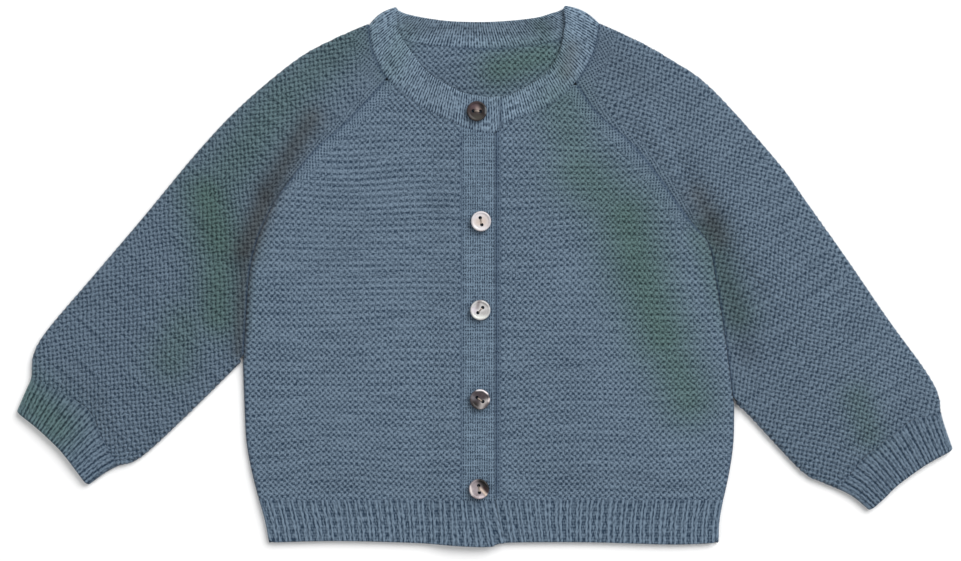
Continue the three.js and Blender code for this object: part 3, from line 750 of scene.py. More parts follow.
@dataclass
class Workroom:
    """Turns cloth grids into pieces on the frame.

    Attributes:
        anchor_node: The node whose middle ties the garment's axes to the frame.
        anchor: Where that middle is in the garment's axes.
    """

    anchor_node: str = "button_2"
    anchor: tuple[float, float] = (0.0, 185.0)
    moss: tuple[Streak, ...] = (
        Streak((46, 252), (57, 214), 17, 0.5),
        Streak((57, 214), (82, 188), 19, 0.65),
        Streak((82, 188), (92, 152), 20, 0.8),
        Streak((92, 152), (104, 118), 19, 0.8),
        Streak((104, 118), (118, 84), 17, 0.7),
        Streak((-76, 290), (-112, 256), 16, 0.5),
        Streak((-112, 256), (-150, 206), 18, 0.55),
        Streak((-156, 200), (-149, 172), 17, 0.85),
        Streak((-149, 172), (-150, 132), 15, 0.75),
        Streak((-168, 126), (-176, 106), 14, 0.5),
        Streak((-262, 88), (-242, 68), 15, 0.7),
        Streak((10, 272), (36, 280), 13, 0.75),
        Streak((34, 296), (46, 270), 7, 0.45),
        Streak((128, 176), (146, 132), 12, 0.55),
        Streak((214, 84), (221, 64), 10, 0.45),
        Streak((-52, 272), (-44, 292), 9, 0.3),
    )
    # Painted shadow: brownish dark streaks beside the rolled raglan folds and where the sleeves meet the
    # neckband.
    painted_shadow: tuple[Streak, ...] = (
        Streak((-96, 244), (-122, 200), 7, 0.6),
        Streak((-122, 200), (-134, 168), 7, 0.8),
        Streak((-134, 168), (-138, 110), 4, 0.5),
        Streak((52, 284), (49, 270), 5, 0.5),
        Streak((124, 200), (136, 176), 7, 0.5),
    )
    gaps: tuple[Streak, ...] = (
        # A painted shadow along the over band's right edge, a dark line above it up to the neckband, and a
        # fainter dark line along the over band's left edge.
        Streak((8.9, 28), (8.9, 236), 1.1, 0.6),
        Streak((11.4, 255), (11.2, 240), 0.9, 0.45),
        Streak((-11.2, 28), (-11.2, 234), 0.9, 0.3),
        # Painted contact shadows round the five buttons.
        Streak((-2.3, 248), (-2.3, 248), 6.6, 0.5),
        Streak((0, 185), (0, 185), 6.6, 0.5),
        Streak((-0.3, 134), (-0.3, 134), 6.6, 0.5),
        Streak((-0.3, 83.8), (-0.3, 83.8), 6.6, 0.5),
        Streak((-0.9, 31.9), (-0.9, 31.9), 6.6, 0.5),
    )
    lined: tuple[Streak, ...] = (
        Streak((-78, 208), (-30, 196), 26, 1.0),
        Streak((-90, 165), (-34, 150), 26, 0.7),
        Streak((40, 200), (70, 226), 18, 0.5),
        Streak((110, 120), (90, 190), 14, 0.5),
    )
    # Painted shade: these streaks darken the colour for the shadows beside the rolled raglan folds on both
    # sleeves, with darker areas at the back of the neck and slight shifts elsewhere; a strength below 0
    # lightens.
    shade: tuple[Streak, ...] = (
        Streak((-34, 264), (38, 266), 15, 0.13),
        Streak((-40, 297), (40, 297), 7, 0.3),
        Streak((64, 288), (92, 262), 10, 0.1),
        Streak((-100, 240), (-122, 204), 7, 0.16),
        Streak((-122, 204), (-137, 166), 7, 0.2),
        Streak((-137, 166), (-139, 112), 5, 0.16),
        Streak((118, 204), (132, 184), 8, 0.14),
        Streak((132, 184), (152, 110), 8, 0.2),
        Streak((-254, 84), (-228, 50), 17, -0.14),
        Streak((54, 292), (22, 250), 8, -0.07),
        Streak((-70, 205), (-40, 200), 45, 0.04),
        Streak((75, 205), (45, 215), 45, 0.04),
        Streak((75, 60), (75, 150), 50, 0.03),
    )

    def shift(self) -> np.ndarray:
        """Return what is added to a garment point to place it on the frame, in millimetres."""
        low, high = (np.array(corner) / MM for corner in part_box(self.anchor_node))
        middle = (low + high) / 2
        return np.array([middle[0] - self.anchor[0], middle[1] - self.anchor[1], 0.0])

    def mesh(self, name: str, cloth: Cloth) -> bpy.types.Mesh:
        """Build the mesh of a piece of cloth, with its stitches in relief.

        Args:
            name: The mesh's name.
            cloth: The grid to give thickness to.

        Returns:
            The mesh, in metres on the frame.
        """
        half, normals = cloth.half(), cloth.normals()
        u, v = cloth.counts[..., 0], cloth.counts[..., 1]
        plain = np.zeros(half.shape) if cloth.plain is None else cloth.plain
        height = blend(cloth.stitch.height(u, v), 0.62, plain)
        relief = cloth.stitch.relief * np.clip(height - 1.0, -1.0, 0.0) * half / (cloth.wall / 2)
        thinned = (slice(None, None, cloth.coarse), slice(None, None, cloth.coarse))
        outside = cloth.mid + normals * (half + relief)[..., None]
        inside = (cloth.mid - normals * half[..., None])[thinned]
        points = np.concatenate([outside.reshape(-1, 3), inside.reshape(-1, 3)])
        mesh = bpy.data.meshes.new(name)
        mesh.from_pydata(((points + self.shift()) * MM).tolist(), [], cloth.faces())
        corners = np.empty(len(mesh.loops), np.int32)
        mesh.loops.foreach_get("vertex_index", corners)
        counts = np.concatenate([cloth.counts.reshape(-1, 2), cloth.counts[thinned].reshape(-1, 2)])
        layer = mesh.uv_layers.new(name=STITCH_MAP)
        layer.data.foreach_set("uv", counts[corners].astype(np.float32).ravel())
        x, y = points[:, 0], points[:, 1]
        seams = cloth.shade()
        lines = np.max([streak.at(x, y) for streak in self.gaps], axis=0)
        masks = {
            # the seams' gaps, and the painted shadows of the gaps streaks
            "gaps": np.maximum(np.concatenate([seams.ravel(), seams[thinned].ravel()]), lines),
            # the piece's tone, plus the painted shade streaks
            "shade": cloth.tone + sum(streak.at(x, y) for streak in self.shade),
            "plain": np.concatenate([plain.ravel(), plain[thinned].ravel()]),
            "moss": np.max([streak.at(x, y) for streak in self.moss], axis=0),
            "painted_shadow": np.max([streak.at(x, y) for streak in self.painted_shadow], axis=0),
            "lined": np.max([streak.at(x, y) for streak in self.lined], axis=0),
        }
        for mask, values in masks.items():
            mesh.attributes.new(mask, "FLOAT", "POINT").data.foreach_set("value", values.astype(np.float32))
        mesh.polygons.foreach_set("use_smooth", np.ones(len(mesh.polygons), bool))
        mesh.update()
        return mesh

    def piece(
        self, name: str, mesh: bpy.types.Mesh, material: bpy.types.Material, node_name: str, slot: str
    ) -> Any:
        """Place a mesh in the scene in a node's stead.

        Args:
            name: The piece's name.
            mesh: Its mesh.
            material: Its material.
            node_name: The node that it stands for.
            slot: The node's material slot; not used.

        Returns:
            The new object.
        """
        made = add_object(name, mesh)
        mesh.materials.append(material)
        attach(made, "root")
        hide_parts(node_name)
        triangles = sum(len(face.vertices) - 2 for face in mesh.polygons)
        LOG.info("%s: %d triangles", name, triangles)
        return made

    def sew(
        self, node_name: str, cloth: Cloth, material: bpy.types.Material, slot: str, held: Held, rests_on: str
    ) -> None:
        """Args:
            node_name: The node that it stands for.
            cloth: Its grid.
            material: Its material.
            slot: The node's material slot.
            held: How it is held; not used.
            rests_on: The piece that it lies on; not used.
        """
        name = f"{node_name}_knit"
        made = self.piece(name, self.mesh(name, cloth), material, node_name, slot)


@dataclass(frozen=True)
class Drape:
    """How high the layers of cloth lie above the table."""

    wall: float = 2.0
    gap: float = 0.3
    rise: tuple[float, float] = (-34.0, -13.0)  # the right front climbs onto the under band between these
    roll_height: float = 2.2
    roll_inside: float = 32.0
    roll_outside: float = 6.0
    roll_under: tuple[float, float] = (-20.0, 35.0)  # it begins between these heights over the underarm
    roll_over: tuple[float, float] = (222.0, 268.0)  # and fades out between these
    swell: float = 1.5  # of the front, away from its edges
    swell_sides: tuple[tuple[float, float], tuple[float, float]] = ((14.0, 44.0), (100.0, 132.0))
    swell_ends: tuple[tuple[float, float], tuple[float, float]] = ((27.0, 48.0), (190.0, 240.0))
    creases: tuple[Streak, ...] = (
        Streak((-60, 60), (-66, 170), 16, 0.5),
        Streak((-100, 50), (-96, 150), 12, -0.5),
        Streak((62, 50), (60, 150), 16, 0.5),
        Streak((100, 60), (92, 160), 14, -0.4),
        Streak((-28, 60), (-30, 190), 10, -0.3),
        Streak((32, 60), (34, 190), 12, -0.3),
    )

    @property
    def step(self) -> float:
        """Return the rise from one layer to the next."""
        return self.wall + self.gap

    @property
    def back(self) -> float:
        """Return the middle height of the back layer."""
        return self.wall / 2

    @property
    def front(self) -> float:
        """Return the middle height of the front layer."""
        return self.back + self.step

    @property
    def overlap(self) -> float:
        """Return the middle height of the top band."""
        return self.front + self.step

    @property
    def side_seam(self) -> float:
        """Return the height where front and back meet along a fold."""
        return self.back + self.step / 2

    def roll(self, half: HalfCut, x: np.ndarray, y: np.ndarray) -> np.ndarray:
        """Return the height of the soft roll beside an armhole."""
        outwards = (x - x_at(smooth_line(half.crest), y)) * half.side.value * 0.8
        reach = np.where(outwards > 0, self.roll_outside, self.roll_inside)
        near = np.clip(1.0 - np.abs(outwards) / reach, 0.0, 1.0)
        raised = near * near * (3.0 - 2.0 * near)
        up = smoothstep(y - half.underarm, *self.roll_under)
        return self.roll_height * raised * up * (1.0 - smoothstep(y, *self.roll_over))

    def back_layer(self, x: np.ndarray, _: np.ndarray) -> np.ndarray:
        """Return the height of the back as a function of place."""
        return np.full(np.shape(x), self.back)

    def front_layer(self, half: HalfCut) -> Height:
        """Return the height of one front as a function of place."""

        def height(x: np.ndarray, y: np.ndarray) -> np.ndarray:
            """Return the height at places on this front."""
            level = self.front + self.roll(half, x, y)
            if half.side is Side.RIGHT:
                level = level + self.step * smoothstep(x, *self.rise)
            return level

        return height

    def fullness(self, half: HalfCut, x: np.ndarray, y: np.ndarray) -> np.ndarray:
        """Return how far a front stands off the back between its edges, with its creases."""
        level = self.swell + sum(streak.at(x, y) for streak in self.creases)
        for place, (near, far) in ((x * half.side.value, self.swell_sides), (y, self.swell_ends)):
            level = level * smoothstep(place, *near) * (1.0 - smoothstep(place, *far))
        return level


def neck_seam(rows: Rows) -> np.ndarray:
    """Return the smooth line that a part of the neckband is sewn along."""
    return smooth_line([row[:2] for row in rows])


@dataclass
class Body:
    """The back and the two fronts, in seed stitch, folded at the sides and sewn to the sleeves."""

    drape: Drape = field(default_factory=Drape)
    stitch: Stitch = SEED
    rib_top: float = 26.0
    seam: float = -0.4  # pieces that are sewn together lap over each other by this much
    seam_rim: float = 0.8
    tip: tuple[tuple[Side, float], ...] = ((Side.RIGHT, 265.4), (Side.LEFT, 262.8))
    back_top: float = 291.0
    fold_shares: tuple[float, ...] = (0.17, 0.34, 0.5, 0.67, 0.84, 1.0)
    plain_strip: tuple[float, float] = (8.0, 12.0)
    waver: tuple[Waver, Waver] = (Waver(60, 0.5, 3), Waver(70, 0.6, 4))
    jitter: tuple[Waver, Waver] = (Waver(5.0, 0.1, 5), Waver(5.0, 0.1, 6))
    corner: float = 3.2  # radius of the corners of hems and cuffs
    neck_corner: float = 238.7  # height where the fronts' inner edges turn from the band to the neck
    neck_half: float = 54.0  # the back has fine columns as far out as this, where the neck shows it
    neck_columns: int = 72
    neck_floor: float = 236.0  # and fine rows from here up
    scoop_start: float = 250.0  # rows above this bend down to the back of the neck

    def round_off(self, mid: np.ndarray, away: np.ndarray) -> np.ndarray:
        """Draw back the first row near a corner, so that the corner is rounded.

        Args:
            mid: The points, as rows and columns.
            away: How far each column stands from the corner.

        Returns:
            The points with the rounded corner.
        """
        inward = np.clip(self.corner - away, 0.0, self.corner)
        steps = np.linalg.norm(np.diff(mid, axis=0), axis=-1)
        lengths = steps.sum(axis=0)
        back = (self.corner - np.sqrt(self.corner**2 - inward**2)) / lengths
        knots = np.insert(np.cumsum(steps, axis=0), 0, 0.0, axis=0) / lengths
        made = mid.copy()
        for j in np.flatnonzero(inward > 0):
            places = blend(back[j], 1.0, knots[:, j])
            for axis in range(3):
                made[:, j, axis] = np.interp(places, knots[:, j], mid[:, j, axis])
        return made

    def outer_edge(self, half: HalfCut, armhole: Rows, y: np.ndarray) -> np.ndarray:
        """Return the outer edge of a panel: the side fold, and the armhole line above it."""
        below = x_at(smooth_line(half.side_fold), y)
        above = x_at(smooth_line(armhole), y)
        return np.where(y < half.underarm, below, above)

    def row(
        self, half: HalfCut, inner: np.ndarray, outer: np.ndarray, y: np.ndarray, shares: np.ndarray,
        layer: Height, fold: np.ndarray,
    ) -> np.ndarray:
        """Lay out the rows of a panel, whose outer edges turn down or up to the side seam.

        Args:
            half: The side of the body.
            inner: X of each row's inner end.
            outer: X of each row's outer edge.
            y: Height of each row.
            shares: Where the columns stand, from the inner end to the start of the turn.
            layer: The cloth's middle height as a function of place.
            fold: How far each row's edge turns, from 0, sewn flat, to 1, a full quarter turn.

        Returns:
            The points, as rows and columns.
        """
        sign, seam_height = half.side.value, self.drape.side_seam
        edge = outer - sign * fold * self.drape.wall / 2
        height = layer(edge, y)
        sewn = seam_height + np.sign(height - seam_height) * self.seam / 2
        radius = np.abs(height - sewn)
        start = edge - sign * radius
        x = blend(inner[:, None], start[:, None], shares[None, :])
        tall = np.broadcast_to(y[:, None], x.shape)
        columns = [np.stack([x, tall, layer(x, tall)], axis=-1)]
        for share in self.fold_shares:
            turn = share * math.pi / 2
            turned_x = start + sign * radius * blend(share, math.sin(turn), fold)
            folded = blend(layer(start, y), sewn, 1.0 - math.cos(turn))
            z = blend(layer(turned_x, y), folded, fold)
            columns.append(np.stack([turned_x, y, z], axis=-1)[:, None])
        return np.concatenate(columns, axis=1)

    def fold(self, half: HalfCut, y: np.ndarray) -> np.ndarray:
        """Return how far a panel's edge turns at each height."""
        return 1.0 - smoothstep(y, half.seam_end - 16, half.seam_end)

    def counts(self, mid: np.ndarray) -> np.ndarray:
        """Return the wales and courses at points of the body, a little uneven as in real knitting."""
        x, y = mid[..., 0], mid[..., 1]
        shifts = [slow.at(x, y) + quick.at(x, y) for slow, quick in zip(self.waver, self.jitter)]
        return np.stack([x / self.stitch.wale + shifts[0], y / self.stitch.course + shifts[1]], axis=-1)

    def front(self, half: HalfCut) -> Cloth:
        """Lay out one front, from the hem rib to the tip between neckband and raglan seam."""
        sign, top = half.side.value, dict(self.tip)[half.side]
        bottom = self.rib_top + self.seam / 2
        y = blend(bottom, top, spread(top - bottom, self.stitch.course / 2, (0.5, 0.5), 3))
        band = half.band_edge + sign * self.seam
        neck = neck_seam(half.neck)
        rising = neck[np.argmin(neck[:, 1]) :] if half.side is Side.RIGHT else neck
        at_neck = np.where(y > self.neck_corner, x_at(rising, y), band)
        inner = sign * np.maximum(sign * at_neck, sign * band)
        outer = self.outer_edge(half, half.armhole, y)
        shares = spread(abs(outer[0] - inner[0]), self.stitch.wale / 2, (self.seam_rim, 0.0), 3)
        layer = self.drape.front_layer(half)
        mid = self.row(half, inner, outer, y, shares, layer, self.fold(half, y))
        mid[..., 2] += self.drape.fullness(half, mid[..., 0], mid[..., 1])
        cloth = Cloth(mid, self.counts(mid), self.stitch, -sign, rims=(RUN_ON, LINKED, LINKED, SEWN))
        from_seam = cloth.distances()[3]
        high = smoothstep(mid[..., 1], half.seam_end - 10, half.seam_end + 10)
        cloth.plain = high * (1.0 - smoothstep(from_seam, *self.plain_strip))
        return cloth

    def back(self) -> Cloth:
        """Lay out the back, scooped at the neck, with finer rows and columns where the neck shows it."""
        bottom, seen, step = self.rib_top + self.seam / 2, self.neck_floor, self.stitch.course
        low = np.linspace(bottom, seen, round((seen - bottom) / (2 * step)), endpoint=False)
        high = np.linspace(seen, self.back_top, round((self.back_top - seen) / (step / 2)))
        y = np.concatenate([low, high])
        sides = []
        for half in HALVES:
            outer = self.outer_edge(half, half.back_armhole, y)
            edge = abs(outer[0])
            fine = np.linspace(0.0, self.neck_half / edge, self.neck_columns, endpoint=False)
            count = round((edge - self.neck_half) / (2 * self.stitch.wale))
            shares = np.concatenate([fine, np.linspace(self.neck_half / edge, 1.0, count)])
            middle, fold = np.zeros(len(y)), self.fold(half, y)
            sides.append(self.row(half, middle, outer, y, shares, self.drape.back_layer, fold))
        mid = np.concatenate([sides[0][:, ::-1], sides[1][:, 1:]], axis=1)
        scoop = smoothstep(mid[..., 1], self.scoop_start, self.back_top)
        neck_y = np.minimum(y_at(neck_seam(BACK_NECK), mid[..., 0]), mid[..., 1])
        mid[..., 1] = blend(mid[..., 1], neck_y, scoop)
        return Cloth(mid, self.counts(mid), self.stitch, -1, rims=(RUN_ON, SEWN, SEWN, SEWN), coarse=1)


@dataclass
class Hem:
    """The ribbed hem: one piece along the back, and one on each front."""

    body: Body
    stitch: Stitch = BROAD_RIB
    edge: Rows = (
        (-124, 1.6), (-84, 2.6), (-40, 1.6), (-8, -0.4), (6, -0.4), (14, 1.6), (60, 1.9), (110, 0.6),
        (138, 1.8),
    )
    lean: tuple[tuple[Side, float, float, float], ...] = (
        (Side.RIGHT, 6.0, -13.0, 22.0),
        (Side.LEFT, 4.5, 16.0, 64.0),
    )  # of the ribs by each front edge, towards the left at the bottom, and where that fades out
    waver: tuple[Waver, Waver] = (Waver(40, 0.12, 8), Waver(10, 0.035, 9))
    row_step: float = 0.8
    column_step: float = 0.72
    rim: float = 1.0

    def rows(self) -> np.ndarray:
        """Return the shares of the rib's height at which its rows stand."""
        return spread(self.body.rib_top, self.row_step, (self.rim, 0.3), 3)

    def settle(self, mid: np.ndarray, shares: np.ndarray) -> np.ndarray:
        """Set the heights of the rows between the uneven bottom edge and the rib's top."""
        low = y_at(smooth_line(self.edge), mid[..., 0])
        mid[..., 1] = blend(low, self.body.rib_top - self.body.seam / 2, shares[:, None])
        return mid

    def counts(self, mid: np.ndarray) -> np.ndarray:
        """Return the wales and courses, with every wale running along a column of points."""
        wales = np.broadcast_to(mid[-1:, :, 0], mid.shape[:2]) / self.stitch.wale
        place = wales * self.stitch.wale
        uneven = sum(waver.at(place, np.zeros(wales.shape)) for waver in self.waver)
        return np.stack([wales + uneven, mid[..., 1] / self.stitch.course], axis=-1)

    def front(self, half: HalfCut) -> Cloth:
        """Lay out the hem of one front."""
        shares = self.rows()
        y = shares * self.body.rib_top
        inner = np.full(len(y), float(half.hem_inner))
        outer = self.body.outer_edge(half, half.armhole, y)
        columns = spread(abs(outer[0] - inner[0]), self.column_step, (self.rim, 0.0), 3)
        layer = self.body.drape.front_layer(half)
        mid = self.body.row(half, inner, outer, y, columns, layer, np.ones(len(y)))
        _, reach, start, end = next(row for row in self.lean if row[0] is half.side)
        near = 1.0 - smoothstep(mid[..., 0] * half.side.value, start, end)
        mid[..., 0] += reach * (1.0 - shares[:, None]) * near
        mid = self.settle(mid, shares)
        mid = self.body.round_off(mid, np.abs(mid[0, :, 0] - mid[0, -1, 0]))
        return Cloth(mid, self.counts(mid), self.stitch, -half.side.value, rims=(OPEN, RUN_ON, OPEN, SEWN))

    def back(self) -> Cloth:
        """Lay out the hem of the back."""
        shares = self.rows()
        y = shares * self.body.rib_top
        sides = []
        for half in HALVES:
            outer = self.body.outer_edge(half, half.back_armhole, y)
            columns = spread(abs(outer[0]), self.column_step, (0.0, 0.0), 3)
            middle, layer = np.zeros(len(y)), self.body.drape.back_layer
            sides.append(self.body.row(half, middle, outer, y, columns, layer, np.ones(len(y))))
        mid = self.settle(np.concatenate([sides[0][:, ::-1], sides[1][:, 1:]], axis=1), shares)
        return Cloth(mid, self.counts(mid), self.stitch, 1, rims=(OPEN, RUN_ON, SEWN, SEWN))


@dataclass
class Sleeve:
    """One sleeve with its cuff, each a flattened tube."""

    half: HalfCut
    body: Body
    stitch: Stitch = SLEEVE_SEED
    rib: Stitch = CUFF_RIB
    top_step: float = 1.0  # between the columns of the top layer, at the armhole
    under_step: float = 3.3  # between those of the under layer
    row_step: float = 1.24  # along the outer edge; the rows are closer together along the inner one
    swell: float = 2.6  # how far the top layer stands off the under layer
    arc: tuple[float, ...] = (75, 50, 25, 0, -25, -50, -75)  # degrees round a folded edge
    plain_strip: tuple[float, float] = (8.0, 13.0)
    tones: tuple[tuple[Side, float], ...] = ((Side.RIGHT, 0.16), (Side.LEFT, 0.13))
    neck_from: float = 245.0  # the sleeve's neck end is sewn to the part of the neckband over this height
    shoulder: float = 58.5  # X of the back raglan seam's top
    cuff_length: float = 21.0
    cuff_steps: tuple[float, float, float] = (0.7, 1.4, 0.75)  # columns of both layers, and rows
    cuff_swell: float = 0.9

    def fold_lines(self) -> dict[str, dict[str, np.ndarray]]:
        """Return the fold lines of the outer and inner edges, for the cuff and for the sleeve."""
        sign, drape = self.half.side.value, self.body.drape
        reach = drape.step / 2 + drape.wall / 2
        found = {}
        for name, rows, corner, inwards in (
            ("outer", self.half.outer_edge, self.half.cuff_top[0], sign * reach),
            ("inner", self.half.inner_edge, self.half.cuff_top[-1], -sign * reach),
        ):
            edge = smooth_line(rows)
            line = edge + across(edge) * inwards
            turn = int(np.argmin(np.hypot(*(edge - np.array(corner)).T)))
            found[name] = {"cuff": line[: turn + 1], "sleeve": line[turn:]}
        return found

    def sewn_end(self, front: bool, outer: np.ndarray, inner: np.ndarray, count: int) -> np.ndarray:
        """Return the line that a layer is sewn along, from the shoulder fold to the underarm."""
        half, sign = self.half, self.half.side.value
        seam = smooth_line(half.armhole if front else half.back_armhole)
        top = dict(self.body.tip)[half.side] if front else self.body.back_top
        heights = np.linspace(top, half.underarm + 4, 400)
        sewn = np.stack([x_at(seam, heights) + sign * math.sqrt(2) * self.body.seam, heights], axis=-1)
        if front:
            line = neck_seam(half.neck)
            neck = [(float(x_at(line[line[:, 1] > self.neck_from], y)), y) for y in half.neck_heights]
        else:
            x = sign * self.shoulder
            neck = [(x, float(y_at(neck_seam(BACK_NECK), x)))]
        whole = np.vstack([outer[-1:], neck, sewn, inner[-1:]])
        return resample(whole, np.linspace(0.0, 1.0, count))

    def tube(
        self, start: np.ndarray, ends: tuple[np.ndarray, np.ndarray], lines: tuple[np.ndarray, np.ndarray],
        rows: np.ndarray, swell: Callable[[np.ndarray, np.ndarray], np.ndarray],
    ) -> np.ndarray:
        """Lay out a flattened tube.

        Args:
            start: The line across the tube's first end.
            ends: The lines across its other end, of the top and the under layer.
            lines: The fold lines of its outer and inner edges.
            rows: Shares of its length at which its rows stand.
            swell: Extra height of the top layer by the shares across and along.

        Returns:
            The points, as rows that close on themselves.
        """
        sign, drape = self.half.side.value, self.body.drape
        folds = [resample(line, rows) for line in lines]
        radius = drape.step / 2
        layers = []
        for end, front in zip(ends, (True, False)):
            u = np.linspace(0.0, 1.0, len(end))
            v = rows[:, None, None]
            near = resample(start, u)[None]
            along = blend(near, end[None], v)
            between = blend(folds[0][:, None], folds[1][:, None], u[None, :, None])
            corners = blend(
                blend(start[0], start[-1], u[:, None])[None], blend(end[0], end[-1], u[:, None])[None], v
            )
            flat = along + between - corners
            x, y = flat[..., 0], flat[..., 1]
            if front:
                fade = smoothstep(y, self.half.seam_end - 12, self.half.seam_end + 12)
                z = drape.front + drape.roll(self.half, x, y) * fade
                z = z + swell(np.broadcast_to(u, x.shape), np.broadcast_to(rows[:, None], x.shape))
            else:
                z = np.full(x.shape, drape.back)
            layers.append(np.dstack([x, y, z]))
        bends = []
        for line, outwards in zip(folds, (-sign, sign)):
            normals = across(line)
            ring = []
            for turn in np.radians(self.arc):
                place = line + normals * outwards * radius * math.cos(turn)
                z = np.full(len(line), drape.side_seam + radius * math.sin(turn))
                ring.append(np.column_stack([place, z]))
            bends.append(np.stack(ring, axis=1))
        outer, inner = bends
        return np.concatenate([layers[0], inner, layers[1][:, ::-1], outer[:, ::-1]], axis=1)

    def columns(self, end: np.ndarray, step: float, under: float) -> tuple[int, int]:
        """Return how many columns the top and under layers have, so that the ring divides by 3."""
        length = np.linalg.norm(np.diff(end, axis=0), axis=1).sum()
        top, below = round(length / step), round(length / under)
        below += -(top + below + 2 * len(self.arc)) % 3
        return top, below

    def sleeve(self) -> Cloth:
        """Lay out the sleeve."""
        half, lines = self.half, self.fold_lines()
        start = smooth_line(half.cuff_top)
        outer, inner = lines["outer"]["sleeve"], lines["inner"]["sleeve"]
        rough = self.sewn_end(True, outer, inner, 200)
        top, below = self.columns(rough, self.top_step, self.under_step)
        ends = (self.sewn_end(True, outer, inner, top), self.sewn_end(False, outer, inner, below))
        length = float(np.linalg.norm(np.diff(outer, axis=0), axis=1).sum())
        rows = spread(length, self.row_step, (0.4, self.body.seam_rim), 3)

        def swell(u: np.ndarray, v: np.ndarray) -> np.ndarray:
            """Return how far the top layer stands off the under layer."""
            round_off = np.clip(1.0 - (2 * u - 1) ** 2, 0.0, 1.0) ** 0.8
            return self.swell * round_off * smoothstep(v, 0.0, 0.12) * (1.0 - smoothstep(v, 0.62, 0.96))

        mid = self.tube(start, ends, (outer, inner), rows, swell)
        counts = self.counts(mid)
        rims = (RUN_ON, SEWN, NONE, NONE)
        cloth = Cloth(mid, counts, self.stitch, half.side.value, tube=True, rims=rims, level_rows=0.6)
        cloth.tone = dict(self.tones)[half.side]
        high = smoothstep(mid[..., 1], half.seam_end - 10, half.seam_end + 10)
        cloth.plain = high * (1.0 - smoothstep(cloth.distances()[1], *self.plain_strip))
        return cloth

    def counts(self, mid: np.ndarray) -> np.ndarray:
        """Return the wales and courses of the sleeve, whose wales run down towards the cuff."""
        ahead = np.array(self.half.wale_heading) / math.hypot(*self.half.wale_heading)
        x, y = mid[..., 0], mid[..., 1]
        down = x * ahead[0] + y * ahead[1]
        sideways = -x * ahead[1] + y * ahead[0]
        shifts = [slow.at(x, y) + quick.at(x, y) for slow, quick in zip(self.body.waver, self.body.jitter)]
        wales, courses = sideways / self.stitch.wale, down / self.stitch.course
        return np.stack([wales + shifts[0], courses + shifts[1]], axis=-1)

    def cuff(self) -> Cloth:
        """Lay out the cuff, whose ribs run on down the sleeve."""
        half, lines = self.half, self.fold_lines()
        start, top_line = smooth_line(half.cuff_end), smooth_line(half.cuff_top)
        top, below = self.columns(top_line, *self.cuff_steps[:2])
        ends = tuple(resample(top_line, np.linspace(0.0, 1.0, count)) for count in (top, below))
        rows = spread(self.cuff_length, self.cuff_steps[2], (1.0, 0.3), 3)

        def swell(u: np.ndarray, v: np.ndarray) -> np.ndarray:
            """Return how far the top layer stands off the under layer."""
            return self.cuff_swell * np.clip(1.0 - (2 * u - 1) ** 2, 0.0, 1.0) ** 0.6 * np.ones(v.shape)

        edges = (lines["outer"]["cuff"], lines["inner"]["cuff"])
        mid = self.tube(start, ends, edges, rows, swell)
        for corner in (half.cuff_end[0], half.cuff_end[-1]):
            mid = self.body.round_off(mid, np.hypot(*(mid[0, :, :2] - np.array(corner)).T))
        steps = np.linalg.norm(np.diff(mid[-1, :, :2], axis=0), axis=1)
        reach = np.concatenate([[0.0], np.cumsum(steps)])
        down = np.broadcast_to((rows * self.cuff_length)[:, None], mid.shape[:2])
        wales = np.broadcast_to(reach / self.rib.wale, mid.shape[:2])
        counts = np.stack([wales, down / self.rib.course], axis=-1)
        cloth = Cloth(mid, counts, self.rib, half.side.value, tube=True, rims=(OPEN, RUN_ON, NONE, NONE))
        cloth.tone = dict(self.tones)[half.side]
        return cloth


